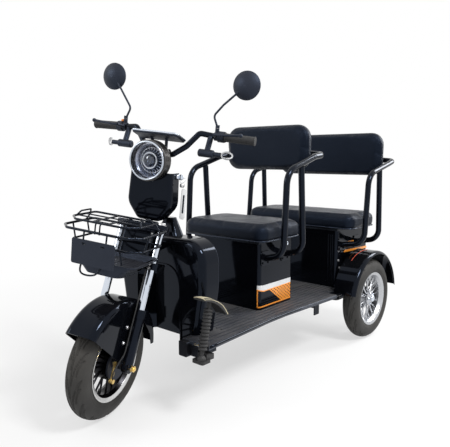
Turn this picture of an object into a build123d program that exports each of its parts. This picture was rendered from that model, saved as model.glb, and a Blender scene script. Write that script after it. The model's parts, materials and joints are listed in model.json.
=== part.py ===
"""Electric three-wheeled passenger trike, built as separate pieces.

Frame: +X forward, +Y to the vehicle's left, +Z up, in millimetres.  The ground is z = 0.
The front assembly is modelled straight ahead and then turned about the raked steering
axis by steer_at_rest, the angle at which the vehicle is parked.
"""
from build123d import *
from math import atan2, cos, degrees, hypot, pi, radians, sin, sqrt, tan
import os

# ---------------------------------------------------------------- driving dimensions
wheelbase = 1430.0
rear_axle_x = -695.0
rear_track = 644.0
tyre_radius = 208.0
tyre_section = 43.0
tyre_bead_radius = 130.0
tyre_facets = 80
rim_radius = 139.0
rim_half_width = 37.0
rim_well = 17.0
spoke_count = 20
drum_shell_radius = 62.0
seat_clearance = 0.3
fit_clearance = 0.05

# steering
rake = 20.2
trail = 71.0
steer_at_rest = 19.5
fork_half_spacing = 84.0
stanchion_radius = 14.0
leg_radius = 20.0
leg_top_z = 401.0
yoke_thickness = 26.0
lower_yoke_z = 552.0
upper_yoke_z = 686.0
yoke_depth = 44.0
stem_radius = 14.0
head_tube_radius = 24.0
axle_radius = 6.0

# front mudguard
guard_radius = 242.0
guard_half_width = 61.0
guard_wall = 3.0

# lamp, nose and dashboard; setbacks are from where the steering axis meets the ground
lamp_setback = 242.0
lamp_z = 935.0
lamp_radius = 77.0
lens_radius = 66.0
lamp_depth = 70.0
bezel_width = 8.0
projector_radius = 26.0
reflector_cells = 24
nose_setback = 277.0
nose_depth = 62.0
nose_wall = 3.0
nose_low_z = 705.0
nose_half_width = 97.0
nose_height = 190.0
dash_half_width = 97.0
dash_thickness = 12.0
dash_front_setback = 282.0
dash_front_z = 1046.0
dash_rear_setback = 362.0
dash_rear_z = 1020.0

# handlebar
bar_radius = 11.0
bar_setback = 357.0
bar_clamp_z = 960.0
clamp_radius = 20.0
bar_knee_y = 140.0
bar_knee_z = 1052.0
bar_bend_y = 190.0
grip_inner_y = 237.0
pod_start = 22.0
pod_radius = 21.0
collar_length = 14.0
collar_radius = 17.0
mirror_boss_height = 30.0
grip_outer_y = 355.0
grip_radius = 16.0
grip_setback = 414.0
grip_z = 1043.0

# mirrors and turn signals
mirror_setback = 423.0
mirror_y = 292.0
mirror_z = 1243.0
mirror_radius = 54.0
mirror_depth = 24.0
mirror_stalk_radius = 4.0
signal_setback = 372.0
signal_z = 980.0
signal_stem_radius = 11.0
signal_ring_length = 50.0
signal_ring_height = 31.0

# basket
basket_wire_radius = 4.5
basket_cross_radius = 3.0
basket_ring_z = 705.0
basket_ring_half_width = 155.0
basket_lead = 43.0
basket_length = 200.0
basket_lower_ring_z = 652.0
basket_lid_z = 735.0
basket_lid_half_width = 134.0
tray_rim_z = 597.0
tray_bottom_z = 550.0
tray_half_width = 125.0
tray_depth = 20.0
tray_wall = 3.0
plate_lead = 51.0
plate_half_width = 85.0
plate_bottom_z = 592.0
plate_height = 86.0
plate_thickness = 3.0

# floor and frame
floor_top_z = 280.0
floor_thickness = 16.0
floor_setback = 209.0
floor_end_half_width = 314.0
floor_waist_half_width = 291.0
floor_waist_x = 70.0
floor_rear_x = -395.0
floor_lip_radius = 7.0
rail_width = 40.0
rail_height = 40.0
rail_half_spacing = 150.0
rib_spacing = 24.0

# leg shield
shield_setback = 255.0
shield_half_width = 238.0
shield_top_z = 640.0
shield_corner_radius = 90.0
shield_taper = 30.0
shield_taper_z = 450.0
shield_depth = 90.0
shield_wall = 3.0
shield_apron_z = 234.0
apron_half_width = 176.0
inner_shield_thickness = 8.0
down_tube_radius = 20.0
down_tube_setback = 60.0
recess_depth = 68.0
recess_half_width = 122.0
recess_back_half_width = 92.0
recess_top_z = 530.0
recess_arch_radius = 80.0
recess_lip = 5.0
shield_rim_radius = 26.0
neck_top_z = 708.0
neck_half_width = 78.0

# seat boxes and seats
box_wall = 3.0
front_box_x = (-190.0, 69.0)
front_box_half_width = 187.0
rear_box_x = (-856.0, -516.0)
wheel_to_box = 82.0
box_top_z = 575.0
panel_inset = 26.0
panel_depth = 1.5
pan_thickness = 10.0
cushion_thickness = 74.0
front_cushion_x = (-196.0, 116.0)
front_cushion_half_width = 240.0
rear_cushion_x = (-772.0, -491.0)
rear_cushion_half_width = 330.0
backrest_thickness = 52.0
front_back_face_x = -211.0
front_back_half_width = 245.0
front_back_z = (882.0, 1100.0)
rear_back_face_x = -801.0
rear_back_half_width = 330.0
rear_back_z = (845.0, 1080.0)
battery_height = 170.0
battery_margin = 24.0

# arm tubes
arm_radius = 14.0
arm_bend = 62.0
arm_plate = 32.0
front_arm_y = 284.0
rear_arm_y = 367.0
rear_bar_radius = 7.0
rear_bar_reach = 48.0
rear_bar_half_width = 222.0

# rear running gear
axle_tube_radius = 26.0
spring_half_length = 140.0
spring_width = 40.0
diff_radius = 62.0
drum_radius = 70.0
rear_shaft_radius = 12.0
guard_rear_radius = 254.0
guard_rear_gap = 22.0
guard_rear_reach = 56.0

# brake pedal and cable
pedal_y = 300.0
pedal_rod_radius = 8.0
boot_radius = 17.0
boot_rings = 12
cable_radius = 2.6

# ---------------------------------------------------------------- derived places
front_axle_x = rear_axle_x + wheelbase
axis_ground_x = front_axle_x + trail
axis_dir = (-sin(radians(rake)), 0.0, cos(radians(rake)))
steer_axis = Axis((axis_ground_x, 0, 0), axis_dir)
tyre_major = tyre_radius - tyre_section
tread_angles = (0, 28, 58, 92)


def tyre_profile():
    """Half section of a tyre, from the crown to the bead, as (side offset, radius) points."""
    points = []
    for angle in tread_angles:
        lift = radians(angle)
        points.append((tyre_section * sin(lift), tyre_major + tyre_section * cos(lift)))
    for radius in (rim_radius, tyre_bead_radius):
        drop = tyre_major - radius
        points.append((sqrt(tyre_section ** 2 - drop ** 2), radius))
    return points


def front_axle_height():
    """Height of the straight-ahead front axle that puts the turned tyre on the ground."""
    turn = radians(steer_at_rest)
    ax, az = axis_dir[0], axis_dir[2]
    spin_z = -ax * sin(turn)
    r_zx = ax * az * (1 - cos(turn))
    r_zz = cos(turn) + az * az * (1 - cos(turn))
    reach = max(radius * sqrt(1 - spin_z * spin_z) + side * abs(spin_z)
                for side, radius in tyre_profile())
    return (reach + r_zx * trail) / r_zz


front_axle_z = front_axle_height()
rear_axle_z = tyre_radius
fork_offset = front_axle_z * sin(radians(rake)) - trail * cos(radians(rake))
rail_kick_z = floor_top_z - seat_clearance
seat_base_z = box_top_z + pan_thickness
rear_box_half_width = rear_track / 2 - wheel_to_box
guard_rear_inner_y = rear_box_half_width + guard_rear_gap
guard_rear_outer_y = rear_track / 2 + guard_rear_reach

# steered pieces
lamp_x = axis_ground_x - lamp_setback
nose_front_x = axis_ground_x - nose_setback
dash_front = (axis_ground_x - dash_front_setback, dash_front_z)
dash_rear = (axis_ground_x - dash_rear_setback, dash_rear_z)
bar_clamp = (axis_ground_x - bar_setback, bar_clamp_z)
grip_x = axis_ground_x - grip_setback
mirror_x = axis_ground_x - mirror_setback
signal_x = axis_ground_x - signal_setback
basket_front_x = axis_ground_x + basket_lead
basket_rear_x = basket_front_x - basket_length
plate_x = axis_ground_x + plate_lead

# front of the body
floor_front_x = front_axle_x - floor_setback
shield_face_x = front_axle_x - shield_setback
shield_recess_x = shield_face_x - recess_depth
down_tube_x = shield_recess_x - down_tube_setback
inner_shield_x = shield_face_x - shield_depth - inner_shield_thickness - seat_clearance


def axis_x(z):
    return axis_ground_x - z * tan(radians(rake))


def axis_plane(z):
    """Plane square to the steering axis: local X forward, local Y left, local Z up the axis."""
    forward = (cos(radians(rake)), 0, sin(radians(rake)))
    return Plane(origin=(axis_x(z), 0, z), x_dir=forward, z_dir=axis_dir)


def along_axis(z):
    """Distance up the steering axis from the ground to the height z."""
    return z / cos(radians(rake))


parts = {}


def add(name, shape):
    parts[name] = shape


def add_steered(name, shape):
    parts[name] = shape.rotate(steer_axis, steer_at_rest)


def fuse(shapes):
    total = shapes[0]
    for shape in shapes[1:]:
        total = total + shape
    return total


def box(x0, x1, y0, y1, z0, z1):
    place = Pos((x0 + x1) / 2, (y0 + y1) / 2, (z0 + z1) / 2)
    return place * Box(x1 - x0, y1 - y0, z1 - z0)


def rod(start, end, radius):
    start, end = Vector(*start), Vector(*end)
    span = end - start
    return Plane(origin=start, z_dir=span) * Cylinder(
        radius, span.length, align=(Align.CENTER, Align.CENTER, Align.MIN))


def pipe(points, radius, bend):
    path = FilletPolyline(*points, radius=bend)
    section = Plane(origin=path @ 0, z_dir=path % 0) * Circle(radius)
    return sweep(section, path=path)


def y_cylinder(x, z, y0, y1, radius):
    return rod((x, y0, z), (x, y1, z), radius)


def mirrored(shape):
    return mirror(shape, about=Plane.XZ)


def dome_arc(start, radius, tip):
    """Arc, in an (along, radius) profile, of a sphere that meets the axis squarely at tip."""
    centre = (tip ** 2 - start ** 2 - radius ** 2) / (2 * (tip - start))
    ball = tip - centre
    half = atan2(radius, start - centre) / 2
    return ThreePointArc((start, radius), (centre + ball * cos(half), ball * sin(half)), (tip, 0))


# ---------------------------------------------------------------- wheels
def ring_profile(points, x, y, z):
    """Revolve (offset along the spin axis, radius) points about the spin axis."""
    face = make_face(Polyline(*[(r, s) for s, r in points], close=True))
    turned = revolve(face, Axis.Y, 360)
    return Pos(x, y, z) * turned


def tyre(x, y, z):
    """Tyre in flat facets, so that its mesh stays light."""
    half = tyre_profile()
    section = [(-side, radius) for side, radius in reversed(half[1:])] + half
    rings = []
    for i in range(tyre_facets):
        turn = radians(i * 360 / tyre_facets)
        rings.append([Vector(r * cos(turn), side, r * sin(turn)) for side, r in section])
    faces = []
    for i, ring in enumerate(rings):
        following = rings[(i + 1) % tyre_facets]
        for j, point in enumerate(ring):
            k = (j + 1) % len(ring)
            corners = [point, ring[k], following[k], following[j]]
            faces.append(Face(Wire.make_polygon(corners, close=True)))
    return Pos(x, y, z) * Solid(Shell(faces))


def rim_ring():
    """Rim bed and flanges, cut back to stand clear of the tyre."""
    half = rim_half_width
    bed, skin = rim_radius - 11, 4.0
    points = [(-half, rim_radius), (-half + 3, rim_radius), (-half + 7, bed), (-rim_well, bed - 7),
              (rim_well, bed - 7), (half - 7, bed), (half - 3, rim_radius), (half, rim_radius),
              (half, rim_radius - skin), (half - 5, bed - skin), (rim_well + 1, bed - 8 - skin),
              (-rim_well - 1, bed - 8 - skin), (-half + 5, bed - skin), (-half, rim_radius - skin)]
    outer = ring_profile(points, 0, 0, 0)
    gap = tyre_section + seat_clearance
    room = revolve(Pos(tyre_major, 0) * Circle(gap), Axis.Y, 360)
    return outer - room


def spokes(count, hub_radius, lean, thickness):
    """Slender spokes that lean to one side of the hub in turn."""
    reach = rim_radius - 19
    made = []
    for i in range(count):
        side = lean if i % 2 else -lean
        spoke = rod((hub_radius, side, 0), (reach, 0, 0), thickness)
        made.append(spoke.rotate(Axis.Y, i * 360 / count))
    return made


def front_rim():
    """Front wheel: slender spokes round a brake drum that is open to the left."""
    drum = rod((0, -14, 0), (0, 34, 0), drum_shell_radius)
    drum = drum - rod((0, 4, 0), (0, 40, 0), drum_shell_radius - 5)
    cone = Pos(0, -26, 0) * Rot(-90, 0, 0) * Cone(26, drum_shell_radius - 6, 24)
    hub = rod((0, -44, 0), (0, -30, 0), 26)
    body = fuse([rim_ring(), cone, drum, hub] + spokes(spoke_count, drum_shell_radius - 4, 5, 4))
    hub_end = rod((0, 0, 0), (0, 30, 0), 16)
    body = body - rod((0, 4, 0), (0, 40, 0), 26) + hub_end
    return body - rod((0, -60, 0), (0, 60, 0), axle_radius + fit_clearance)


def rear_rim():
    """Rear wheel with slender spokes and a cone hub cap; the outside faces +Y."""
    hub = rod((0, -24, 0), (0, 22, 0), 38)
    cap = Pos(0, 28, 0) * Rot(-90, 0, 0) * Cone(38, 16, 12)
    body = fuse([rim_ring(), hub, cap] + spokes(spoke_count, 30, 8, 4))
    return body - rod((0, -60, 0), (0, 14, 0), rear_shaft_radius + fit_clearance)


def wheels():
    front = Pos(front_axle_x, 0, front_axle_z)
    add_steered("front_tyre", tyre(front_axle_x, 0, front_axle_z))
    add_steered("front_rim", front * front_rim())
    for side, name in ((1, "left"), (-1, "right")):
        y = side * rear_track / 2
        rim = rear_rim()
        if side < 0:
            rim = mirrored(rim)
        add("rear_tyre_" + name, tyre(rear_axle_x, y, rear_axle_z))
        add("rear_rim_" + name, Pos(rear_axle_x, y, rear_axle_z) * rim)


# ---------------------------------------------------------------- fork
def yoke(z, thickness):
    plane = axis_plane(z)
    half = fork_half_spacing
    bar = RectangleRounded(yoke_depth, 2 * half + 2 * 25, 20)
    slab = extrude(plane * Pos(fork_offset / 2, 0) * bar, thickness / 2, both=True)
    for side in (1, -1):
        hole = plane * Pos(fork_offset, side * half) * Cylinder(
            stanchion_radius + fit_clearance, 3 * thickness)
        slab = slab - hole
    return slab


def post_rod(radius):
    """Handlebar post, from the heel of the upper yoke to the bar clamp."""
    foot = (axis_x(upper_yoke_z) - 38, 0, upper_yoke_z)
    return rod(foot, (bar_clamp[0], 0, bar_clamp[1]), radius)


def yoke_room(z):
    plane = axis_plane(z) * Pos(fork_offset / 2, 0)
    half = yoke_thickness / 2 + seat_clearance
    return extrude(plane * Rectangle(yoke_depth + 2 * seat_clearance, 4 * fork_half_spacing),
                   half, both=True)


def fork():
    low_top = along_axis(lower_yoke_z) + yoke_thickness / 2
    up_bottom = along_axis(upper_yoke_z) - yoke_thickness / 2
    up_top = up_bottom + yoke_thickness
    ground = axis_plane(0)
    lower = yoke(lower_yoke_z, yoke_thickness)
    upper = yoke(upper_yoke_z, yoke_thickness)
    stem_low = along_axis(lower_yoke_z)
    stem = ground * Pos(0, 0, (stem_low + up_top) / 2) * Cylinder(stem_radius, up_top - stem_low)
    heel = ground * Pos(-34, 0, up_bottom + yoke_thickness / 2) * Box(50, 60, yoke_thickness)
    post = post_rod(stem_radius)
    clamp = y_cylinder(bar_clamp[0], bar_clamp[1], -30, 30, clamp_radius)
    post = post + clamp - y_cylinder(bar_clamp[0], bar_clamp[1], -60, 60,
                                     bar_radius + fit_clearance)
    shelf = box(axis_x(lower_yoke_z) + 10, axis_ground_x - 26, -40, 40, tray_bottom_z - seat_clearance - 6,
                tray_bottom_z - seat_clearance)
    add_steered("fork_yokes", fuse([lower, upper, stem, heel, post, shelf]))

    axle_s = fork_axle_distance()
    leg_top = along_axis(leg_top_z)
    stanchions, legs = [], []
    for side in (1, -1):
        y = side * fork_half_spacing
        start = leg_top - 60
        tube = ground * Pos(fork_offset, y, (start + up_top) / 2) * Cylinder(
            stanchion_radius, up_top - start)
        stanchions.append(tube)
        leg = ground * Pos(fork_offset, y, (axle_s + leg_top) / 2) * Cylinder(
            leg_radius, leg_top - axle_s)
        foot = y_cylinder(front_axle_x, front_axle_z, y - 13, y + 13, 21)
        bore = ground * Pos(fork_offset, y, (start + leg_top) / 2 + 20) * Cylinder(
            stanchion_radius + fit_clearance, leg_top - start + 40)
        seal = ground * Pos(fork_offset, y, leg_top - 16) * Cylinder(leg_radius + 3, 32)
        leg = leg + foot + seal - bore
        leg = leg - y_cylinder(front_axle_x, front_axle_z, y - 40, y + 40,
                               axle_radius + fit_clearance)
        legs.append(leg)
    add_steered("fork_stanchions", fuse(stanchions))
    add_steered("fork_legs", fuse(legs))


def fork_axle_distance():
    """Distance up the steering axis from the ground to the foot of the front axle."""
    return front_axle_z * cos(radians(rake)) + trail * sin(radians(rake))


def fork_shroud():
    """Cover between the stanchions, closed in front and open behind."""
    low = along_axis(lower_yoke_z) + yoke_thickness / 2 + fit_clearance
    high = along_axis(upper_yoke_z) - yoke_thickness / 2 - fit_clearance
    half = fork_half_spacing - stanchion_radius - 3
    front = head_tube_radius + 9
    plane = axis_plane(0) * Pos(0, 0, low)
    skin = plane * Pos(front / 2, 0) * Rectangle(front, 2 * half)
    shell = extrude(skin, high - low)
    corners = shell.edges().filter_by(lambda e: abs((e.tangent_at(0)).dot(Vector(*axis_dir))) > 0.99)
    shell = fillet([e for e in corners if e.center().X > axis_x(e.center().Z) + front / 2], 18)
    inner = plane * Pos(front / 2 - 3, 0) * Rectangle(front, 2 * half - 6)
    add_steered("fork_shroud", shell - extrude(inner, high - low))


def front_axle():
    end = fork_half_spacing + leg_radius
    shaft = y_cylinder(front_axle_x, front_axle_z, -end - 14, end + 14, axle_radius)
    nuts = []
    for side in (1, -1):
        plane = Plane(origin=(front_axle_x, side * end, front_axle_z), z_dir=(0, side, 0))
        nuts.append(extrude(plane * RegularPolygon(12, 6), 10))
    right_spacer = y_cylinder(front_axle_x, front_axle_z, -63.9, -45, 11)
    add_steered("front_axle", fuse([shaft, right_spacer] + nuts))


def brake_arm_end():
    """Where the cable pulls the brake arm, in the X-Z plane."""
    lean = radians(16)
    return front_axle_x + 32 + 64 * sin(lean), front_axle_z + 20 - 64 * cos(lean)


def brake_plate():
    """Back plate of the front drum brake with its camshaft boss."""
    disc = y_cylinder(front_axle_x, front_axle_z, 35, 43, drum_shell_radius - 2)
    boss = y_cylinder(front_axle_x, front_axle_z, 43, 63.7, 15)
    cam_x, cam_z = front_axle_x + 32, front_axle_z + 20
    cam = y_cylinder(cam_x, cam_z, 43, 49, 11)
    rib = box(front_axle_x - 52, front_axle_x - 16, 43, 47, front_axle_z - 4, front_axle_z + 4)
    plate = fuse([disc, boss, cam, rib])
    plate = plate - y_cylinder(front_axle_x, front_axle_z, 20, 80, axle_radius + fit_clearance)
    add_steered("brake_plate", plate)
    pin = y_cylinder(cam_x, cam_z, 49 + fit_clearance, 58, 7)
    lever = box(cam_x - 6, cam_x + 6, 51, 56, cam_z - 64, cam_z + 6)
    lever = lever.rotate(Axis((cam_x, 0, cam_z), (0, 1, 0)), -16)
    end_x, end_z = brake_arm_end()
    clevis = y_cylinder(end_x, end_z, 47, 63, 8)
    add_steered("brake_arm", fuse([pin, lever, clevis]))


def front_guard():
    centre = Pos(front_axle_x, 0, front_axle_z)
    w = guard_half_width
    blank = rod((0, -w, 0), (0, w, 0), guard_radius)
    blank = fillet(blank.edges().filter_by(GeomType.CIRCLE), 24)
    room = rod((0, -w + guard_wall, 0), (0, w - guard_wall, 0), guard_radius - guard_wall)
    room = fillet(room.edges().filter_by(GeomType.CIRCLE), 24 - guard_wall)
    shell = blank - room
    # outline in the X-Z plane, relative to the axle
    big = 1.4 * guard_radius
    tip = radians(42)
    mask = Polyline(
        (guard_radius * 0.86 * cos(tip), guard_radius * 0.86 * sin(tip)),
        (big * cos(tip), big * sin(tip)),
        (0, big), (-big, big), (-big, 0), (-guard_radius * 0.85, 8),
        (-guard_radius * 0.78, 60), (-120, 148), (-62, 128), (-2, 30), (22, 24), close=True)
    region = extrude(Plane.XZ * make_face(mask), 2 * w, both=True)
    guard = centre * (shell & region)
    bosses = []
    for side in (1, -1):
        for z in (290, 345):
            x = front_axle_x - (z - front_axle_z) * tan(radians(rake))
            boss = y_cylinder(x, z, side * (w - 2), side * (fork_half_spacing - leg_radius - 0.1), 7)
            bosses.append(boss)
    add_steered("front_mudguard", fuse([guard] + bosses))


# ---------------------------------------------------------------- lamp, nose, dashboard
def headlight():
    """Lamp pod with a raised bezel, on a stay from the handlebar post."""
    x, z = lamp_x, lamp_z
    shell = rod((x - lamp_depth, 0, z), (x - bezel_width, 0, z), lamp_radius)
    back_edge = shell.edges().filter_by(GeomType.CIRCLE).sort_by(Axis.X)[0]
    shell = fillet(back_edge, 26)
    bezel = rod((x - 2 * bezel_width, 0, z), (x, 0, z), lens_radius + 5)
    shell = shell + bezel
    shell = fillet(shell.edges().filter_by(GeomType.CIRCLE).sort_by(Axis.X)[-3:], 2)
    bowl = rod((x - lamp_depth + 16, 0, z), (x + 5, 0, z), lens_radius + seat_clearance)
    stay = box(x - lamp_depth - 34, x - lamp_depth + 8, -16, 16, z - 30, z + 2)
    stay = stay - post_rod(stem_radius + seat_clearance)
    add_steered("headlight", shell - bowl + stay)
    lens = rod((x - 10, 0, z), (x - 3, 0, z), lens_radius)
    lens = fillet(lens.edges().filter_by(GeomType.CIRCLE).sort_by(Axis.X)[-1], 3)
    add_steered("headlight_lens", lens)


def headlight_reflector():
    """Ring of reflector cells round a projector, seated on the bottom of the bowl."""
    rim, well, sleeve = lens_radius - 1, projector_radius + 20, projector_radius + 6
    depth, floor = 30, 8
    outline = Polyline((0, 0), (0, rim), (depth, rim), (depth, rim - 4), (floor + 2, well),
                       (floor, well), (floor, sleeve), (depth - 2, sleeve),
                       (depth - 2, projector_radius), (floor + 6, projector_radius),
                       (floor + 6, projector_radius - 5))
    eye = dome_arc(floor + 6, projector_radius - 5, depth - 4)
    dish = revolve(make_face([outline, eye, Line((depth - 4, 0), (0, 0))]), Axis.X, 360)
    web = box(floor - 1, depth - 12, -1.2, 1.2, sleeve - 1, well + 3)
    webs = [web.rotate(Axis.X, i * 360 / reflector_cells) for i in range(reflector_cells)]
    bowl_floor = lamp_x - lamp_depth + 16
    add_steered("headlight_reflector", Pos(bowl_floor, 0, lamp_z) * (dish + webs))


def nose_face(inset, top_z):
    """Outline of the nose, drawn in by inset, with rounded lower corners."""
    low = nose_low_z + inset
    wide, foot = nose_half_width - inset, nose_half_width - 50 - inset
    points = [(-foot, low), (foot, low), (wide, nose_low_z + 62), (wide - 7, top_z),
              (-wide + 7, top_z), (-wide, nose_low_z + 62)]
    outline = make_face(Polyline(*points, close=True))
    outline = fillet(outline.vertices().filter_by(lambda v: v.Y < nose_low_z + 50), 26)
    shoulders = [v for v in outline.vertices() if abs(v.Y - nose_low_z - 62) < 0.01]
    return fillet(shoulders, 60)


def nose_cover():
    """Gloss shell below the lamp, open behind and cut round the lamp."""
    plane = Plane(origin=(nose_front_x - nose_depth, 0, 0), x_dir=(0, 1, 0), z_dir=(1, 0, 0))
    solid = extrude(plane * nose_face(0, nose_low_z + nose_height), nose_depth)
    front = solid.edges().group_by(Axis.X)[-1].filter_by(lambda e: e.center().Z < nose_low_z + 180)
    solid = fillet(front, 16)
    room = extrude(plane * nose_face(nose_wall, nose_low_z + nose_height + 9),
                   nose_depth - nose_wall)
    front = room.edges().group_by(Axis.X)[-1].filter_by(lambda e: e.center().Z < nose_low_z + 180)
    cover = solid - fillet(front, 13)
    lamp_gap = lamp_radius + seat_clearance
    cover = cover - rod((nose_front_x - 2 * nose_depth, 0, lamp_z),
                        (nose_front_x + 9, 0, lamp_z), lamp_gap)
    add_steered("nose_cover", cover - post_rod(stem_radius + 2))


def dashboard():
    dx, dz = dash_front[0] - dash_rear[0], dash_front[1] - dash_rear[1]
    length = hypot(dx, dz)
    tilt = degrees(atan2(dz, dx))
    mid = ((dash_front[0] + dash_rear[0]) / 2, 0, (dash_front[1] + dash_rear[1]) / 2)
    slab = Box(length, 2 * dash_half_width, dash_thickness)
    slab = fillet(slab.edges().filter_by(Axis.Z), 14)
    slab = fillet(slab.edges().group_by(Axis.Z)[0], 5)
    slab = Pos(*mid) * Rot(0, -tilt, 0) * Pos(0, 0, -dash_thickness / 2) * slab
    struts = []
    for side in (1, -1):
        top = (mid[0], side * 34, mid[2] - 8)
        struts.append(rod((bar_clamp[0] + 8, side * 20, bar_clamp[1]), top, 6))
    room = y_cylinder(bar_clamp[0], bar_clamp[1], -40, 40, clamp_radius + seat_clearance)
    add_steered("dashboard", fuse([slab] + struts) - room)


# ---------------------------------------------------------------- handlebar
def bar_route():
    knee_x = (bar_clamp[0] + grip_x) / 2
    half = [(bar_clamp[0], 0, bar_clamp_z), (bar_clamp[0], bar_knee_y - 95, bar_clamp_z),
            (knee_x + 14, bar_knee_y - 45, bar_clamp_z + 37), (knee_x, bar_knee_y, bar_knee_z),
            (grip_x + 14, bar_bend_y, grip_z + 4), (grip_x, grip_outer_y - 4, grip_z)]
    left = half[1:]
    right = [(x, -y, z) for x, y, z in reversed(left)]
    return right + left


def grip_line(side):
    """Foot and direction of the straight outer stretch of the handlebar."""
    foot = Vector(grip_x + 14, side * bar_bend_y, grip_z + 4)
    tip = Vector(grip_x, side * (grip_outer_y - 4), grip_z)
    return foot, tip, (tip - foot).normalized()


def on_bar(side, start, end, radius):
    """Collar round the straight outer stretch, from start to end along it."""
    foot, _, along = grip_line(side)
    bore = rod(tuple(foot + along * (start - 9)), tuple(foot + along * (end + 9)),
               bar_radius + fit_clearance)
    return rod(tuple(foot + along * start), tuple(foot + along * end), radius) - bore


def handlebar():
    add_steered("handlebar", pipe(bar_route(), bar_radius, 18))
    grips, pods, levers = [], [], []
    for side in (1, -1):
        foot, tip, along = grip_line(side)
        grip = rod(tuple(foot + along * (grip_inner_y - bar_bend_y)), tuple(tip + along * 5),
                   grip_radius)
        grips.append(grip - rod(tuple(foot), tuple(tip + along * fit_clearance),
                                bar_radius + fit_clearance))
        pods.append(on_bar(side, pod_start, grip_inner_y - bar_bend_y - 1, pod_radius))
        collar = on_bar(side, pod_start - collar_length - 1, pod_start - 1, collar_radius)
        centre = foot + along * (pod_start - 1 - collar_length / 2)
        pivot = centre + Vector(46, side * 10, 6)
        bracket = rod(tuple(centre + Vector(collar_radius - 3, 0, 0)), tuple(pivot), 7)
        boss = rod(tuple(centre + Vector(0, 0, collar_radius - 3)),
                   tuple(centre + Vector(0, 0, mirror_boss_height)), 8)
        route = [tuple(pivot), (grip_x + 64, side * (bar_bend_y + 52), grip_z + 10),
                 (grip_x + 64, side * 318, grip_z + 16)]
        lever = pipe(route, 5, 8)
        ball = Pos(grip_x + 64, side * 320, grip_z + 16) * Sphere(8)
        levers.append(fuse([collar, bracket, boss, lever, ball]))
    add_steered("grips", fuse(grips))
    add_steered("switch_pods", fuse(pods))
    add_steered("brake_levers", fuse(levers))


def mirror_shell():
    """Domed back of a mirror, with a pocket for the glass behind."""
    rear, glass = -mirror_depth / 2, mirror_radius - 5
    sides = Polyline((rear + 3, 0), (rear + 3, glass), (rear, glass), (rear, mirror_radius),
                     (rear + 4, mirror_radius))
    dome = dome_arc(rear + 4, mirror_radius, -rear)
    return revolve(make_face([sides, dome, Line((-rear, 0), (rear + 3, 0))]), Axis.X, 360)


def mirrors():
    heads, glasses = [], []
    for side in (1, -1):
        foot, _, along = grip_line(side)
        centre = foot + along * (pod_start - 1 - collar_length / 2)
        base = centre + Vector(0, 0, mirror_boss_height + seat_clearance)
        y = side * mirror_y
        rear_x = mirror_x - mirror_depth / 2
        nut = rod(tuple(base), tuple(base + Vector(0, 0, 12)), 8)
        bend = (mirror_x + 21, y - side * 108, mirror_z - 121)
        knee = (mirror_x + 17, y - side * 74, mirror_z - 78)
        stalk = pipe([tuple(base + Vector(0, 0, 2)), bend, knee,
                      (mirror_x - 1, y - side * 20, mirror_z - 20)], mirror_stalk_radius, 20)
        heads.append(fuse([Pos(mirror_x, y, mirror_z) * mirror_shell(), nut, stalk]))
        glass = rod((rear_x + 0.5, y, mirror_z), (rear_x + 3 - fit_clearance, y, mirror_z),
                    mirror_radius - 5 - fit_clearance)
        glasses.append(glass)
    add_steered("mirrors", fuse(heads))
    add_steered("mirror_glasses", fuse(glasses))


def indicators():
    """Cross-shaped stalks that hang the turn signals below the handlebar."""
    arms = []
    stem_y = bar_bend_y - 8
    for side in (1, -1):
        foot, _, _ = grip_line(side)
        stem = rod((foot.X + 2, side * stem_y, grip_z + 2), (signal_x, side * stem_y, signal_z + 4),
                   signal_stem_radius)
        body = y_cylinder(signal_x, signal_z, side * 148, side * 212, 15)
        body = fillet(body.edges().filter_by(GeomType.CIRCLE), 6)
        neck = y_cylinder(signal_x, signal_z, side * 205, side * 240, 9)
        arms.append(fuse([stem, body, neck, signal_ring(side)]))
    room = pipe(bar_route(), bar_radius + fit_clearance, 18)
    add_steered("indicators", fuse(arms) - room)


def signal_ring(side):
    """Oval ring at the end of a turn signal, facing forward and outward."""
    plane = Plane(origin=(0, 0, 0), x_dir=(0, 1, 0), z_dir=(1, 0, 0))
    outer = plane * Ellipse(signal_ring_length / 2, signal_ring_height / 2)
    inner = plane * Ellipse(signal_ring_length / 2 - 5, signal_ring_height / 2 - 5)
    ring = extrude(outer - inner, 6)
    ring = ring.rotate(Axis.Z, side * 40)
    reach = signal_ring_length / 2
    centre_x = signal_x - reach * sin(radians(40)) - 3
    return Pos(centre_x, side * (240 + reach * cos(radians(40))), signal_z) * ring


# ---------------------------------------------------------------- basket
def basket_ring(front, rear, half, z, radius):
    """Closed wire with cut front corners, in the level plane at z."""
    cut = 38.0
    points = [(rear, half, z), (front - cut, half, z), (front, half - cut, z),
              (front, -half + cut, z), (front - cut, -half, z), (rear, -half, z)]
    path = FilletPolyline(*points, radius=14, close=True)
    section = Plane(origin=path @ 0, z_dir=path % 0) * Circle(radius)
    return sweep(section, path=path)


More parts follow.
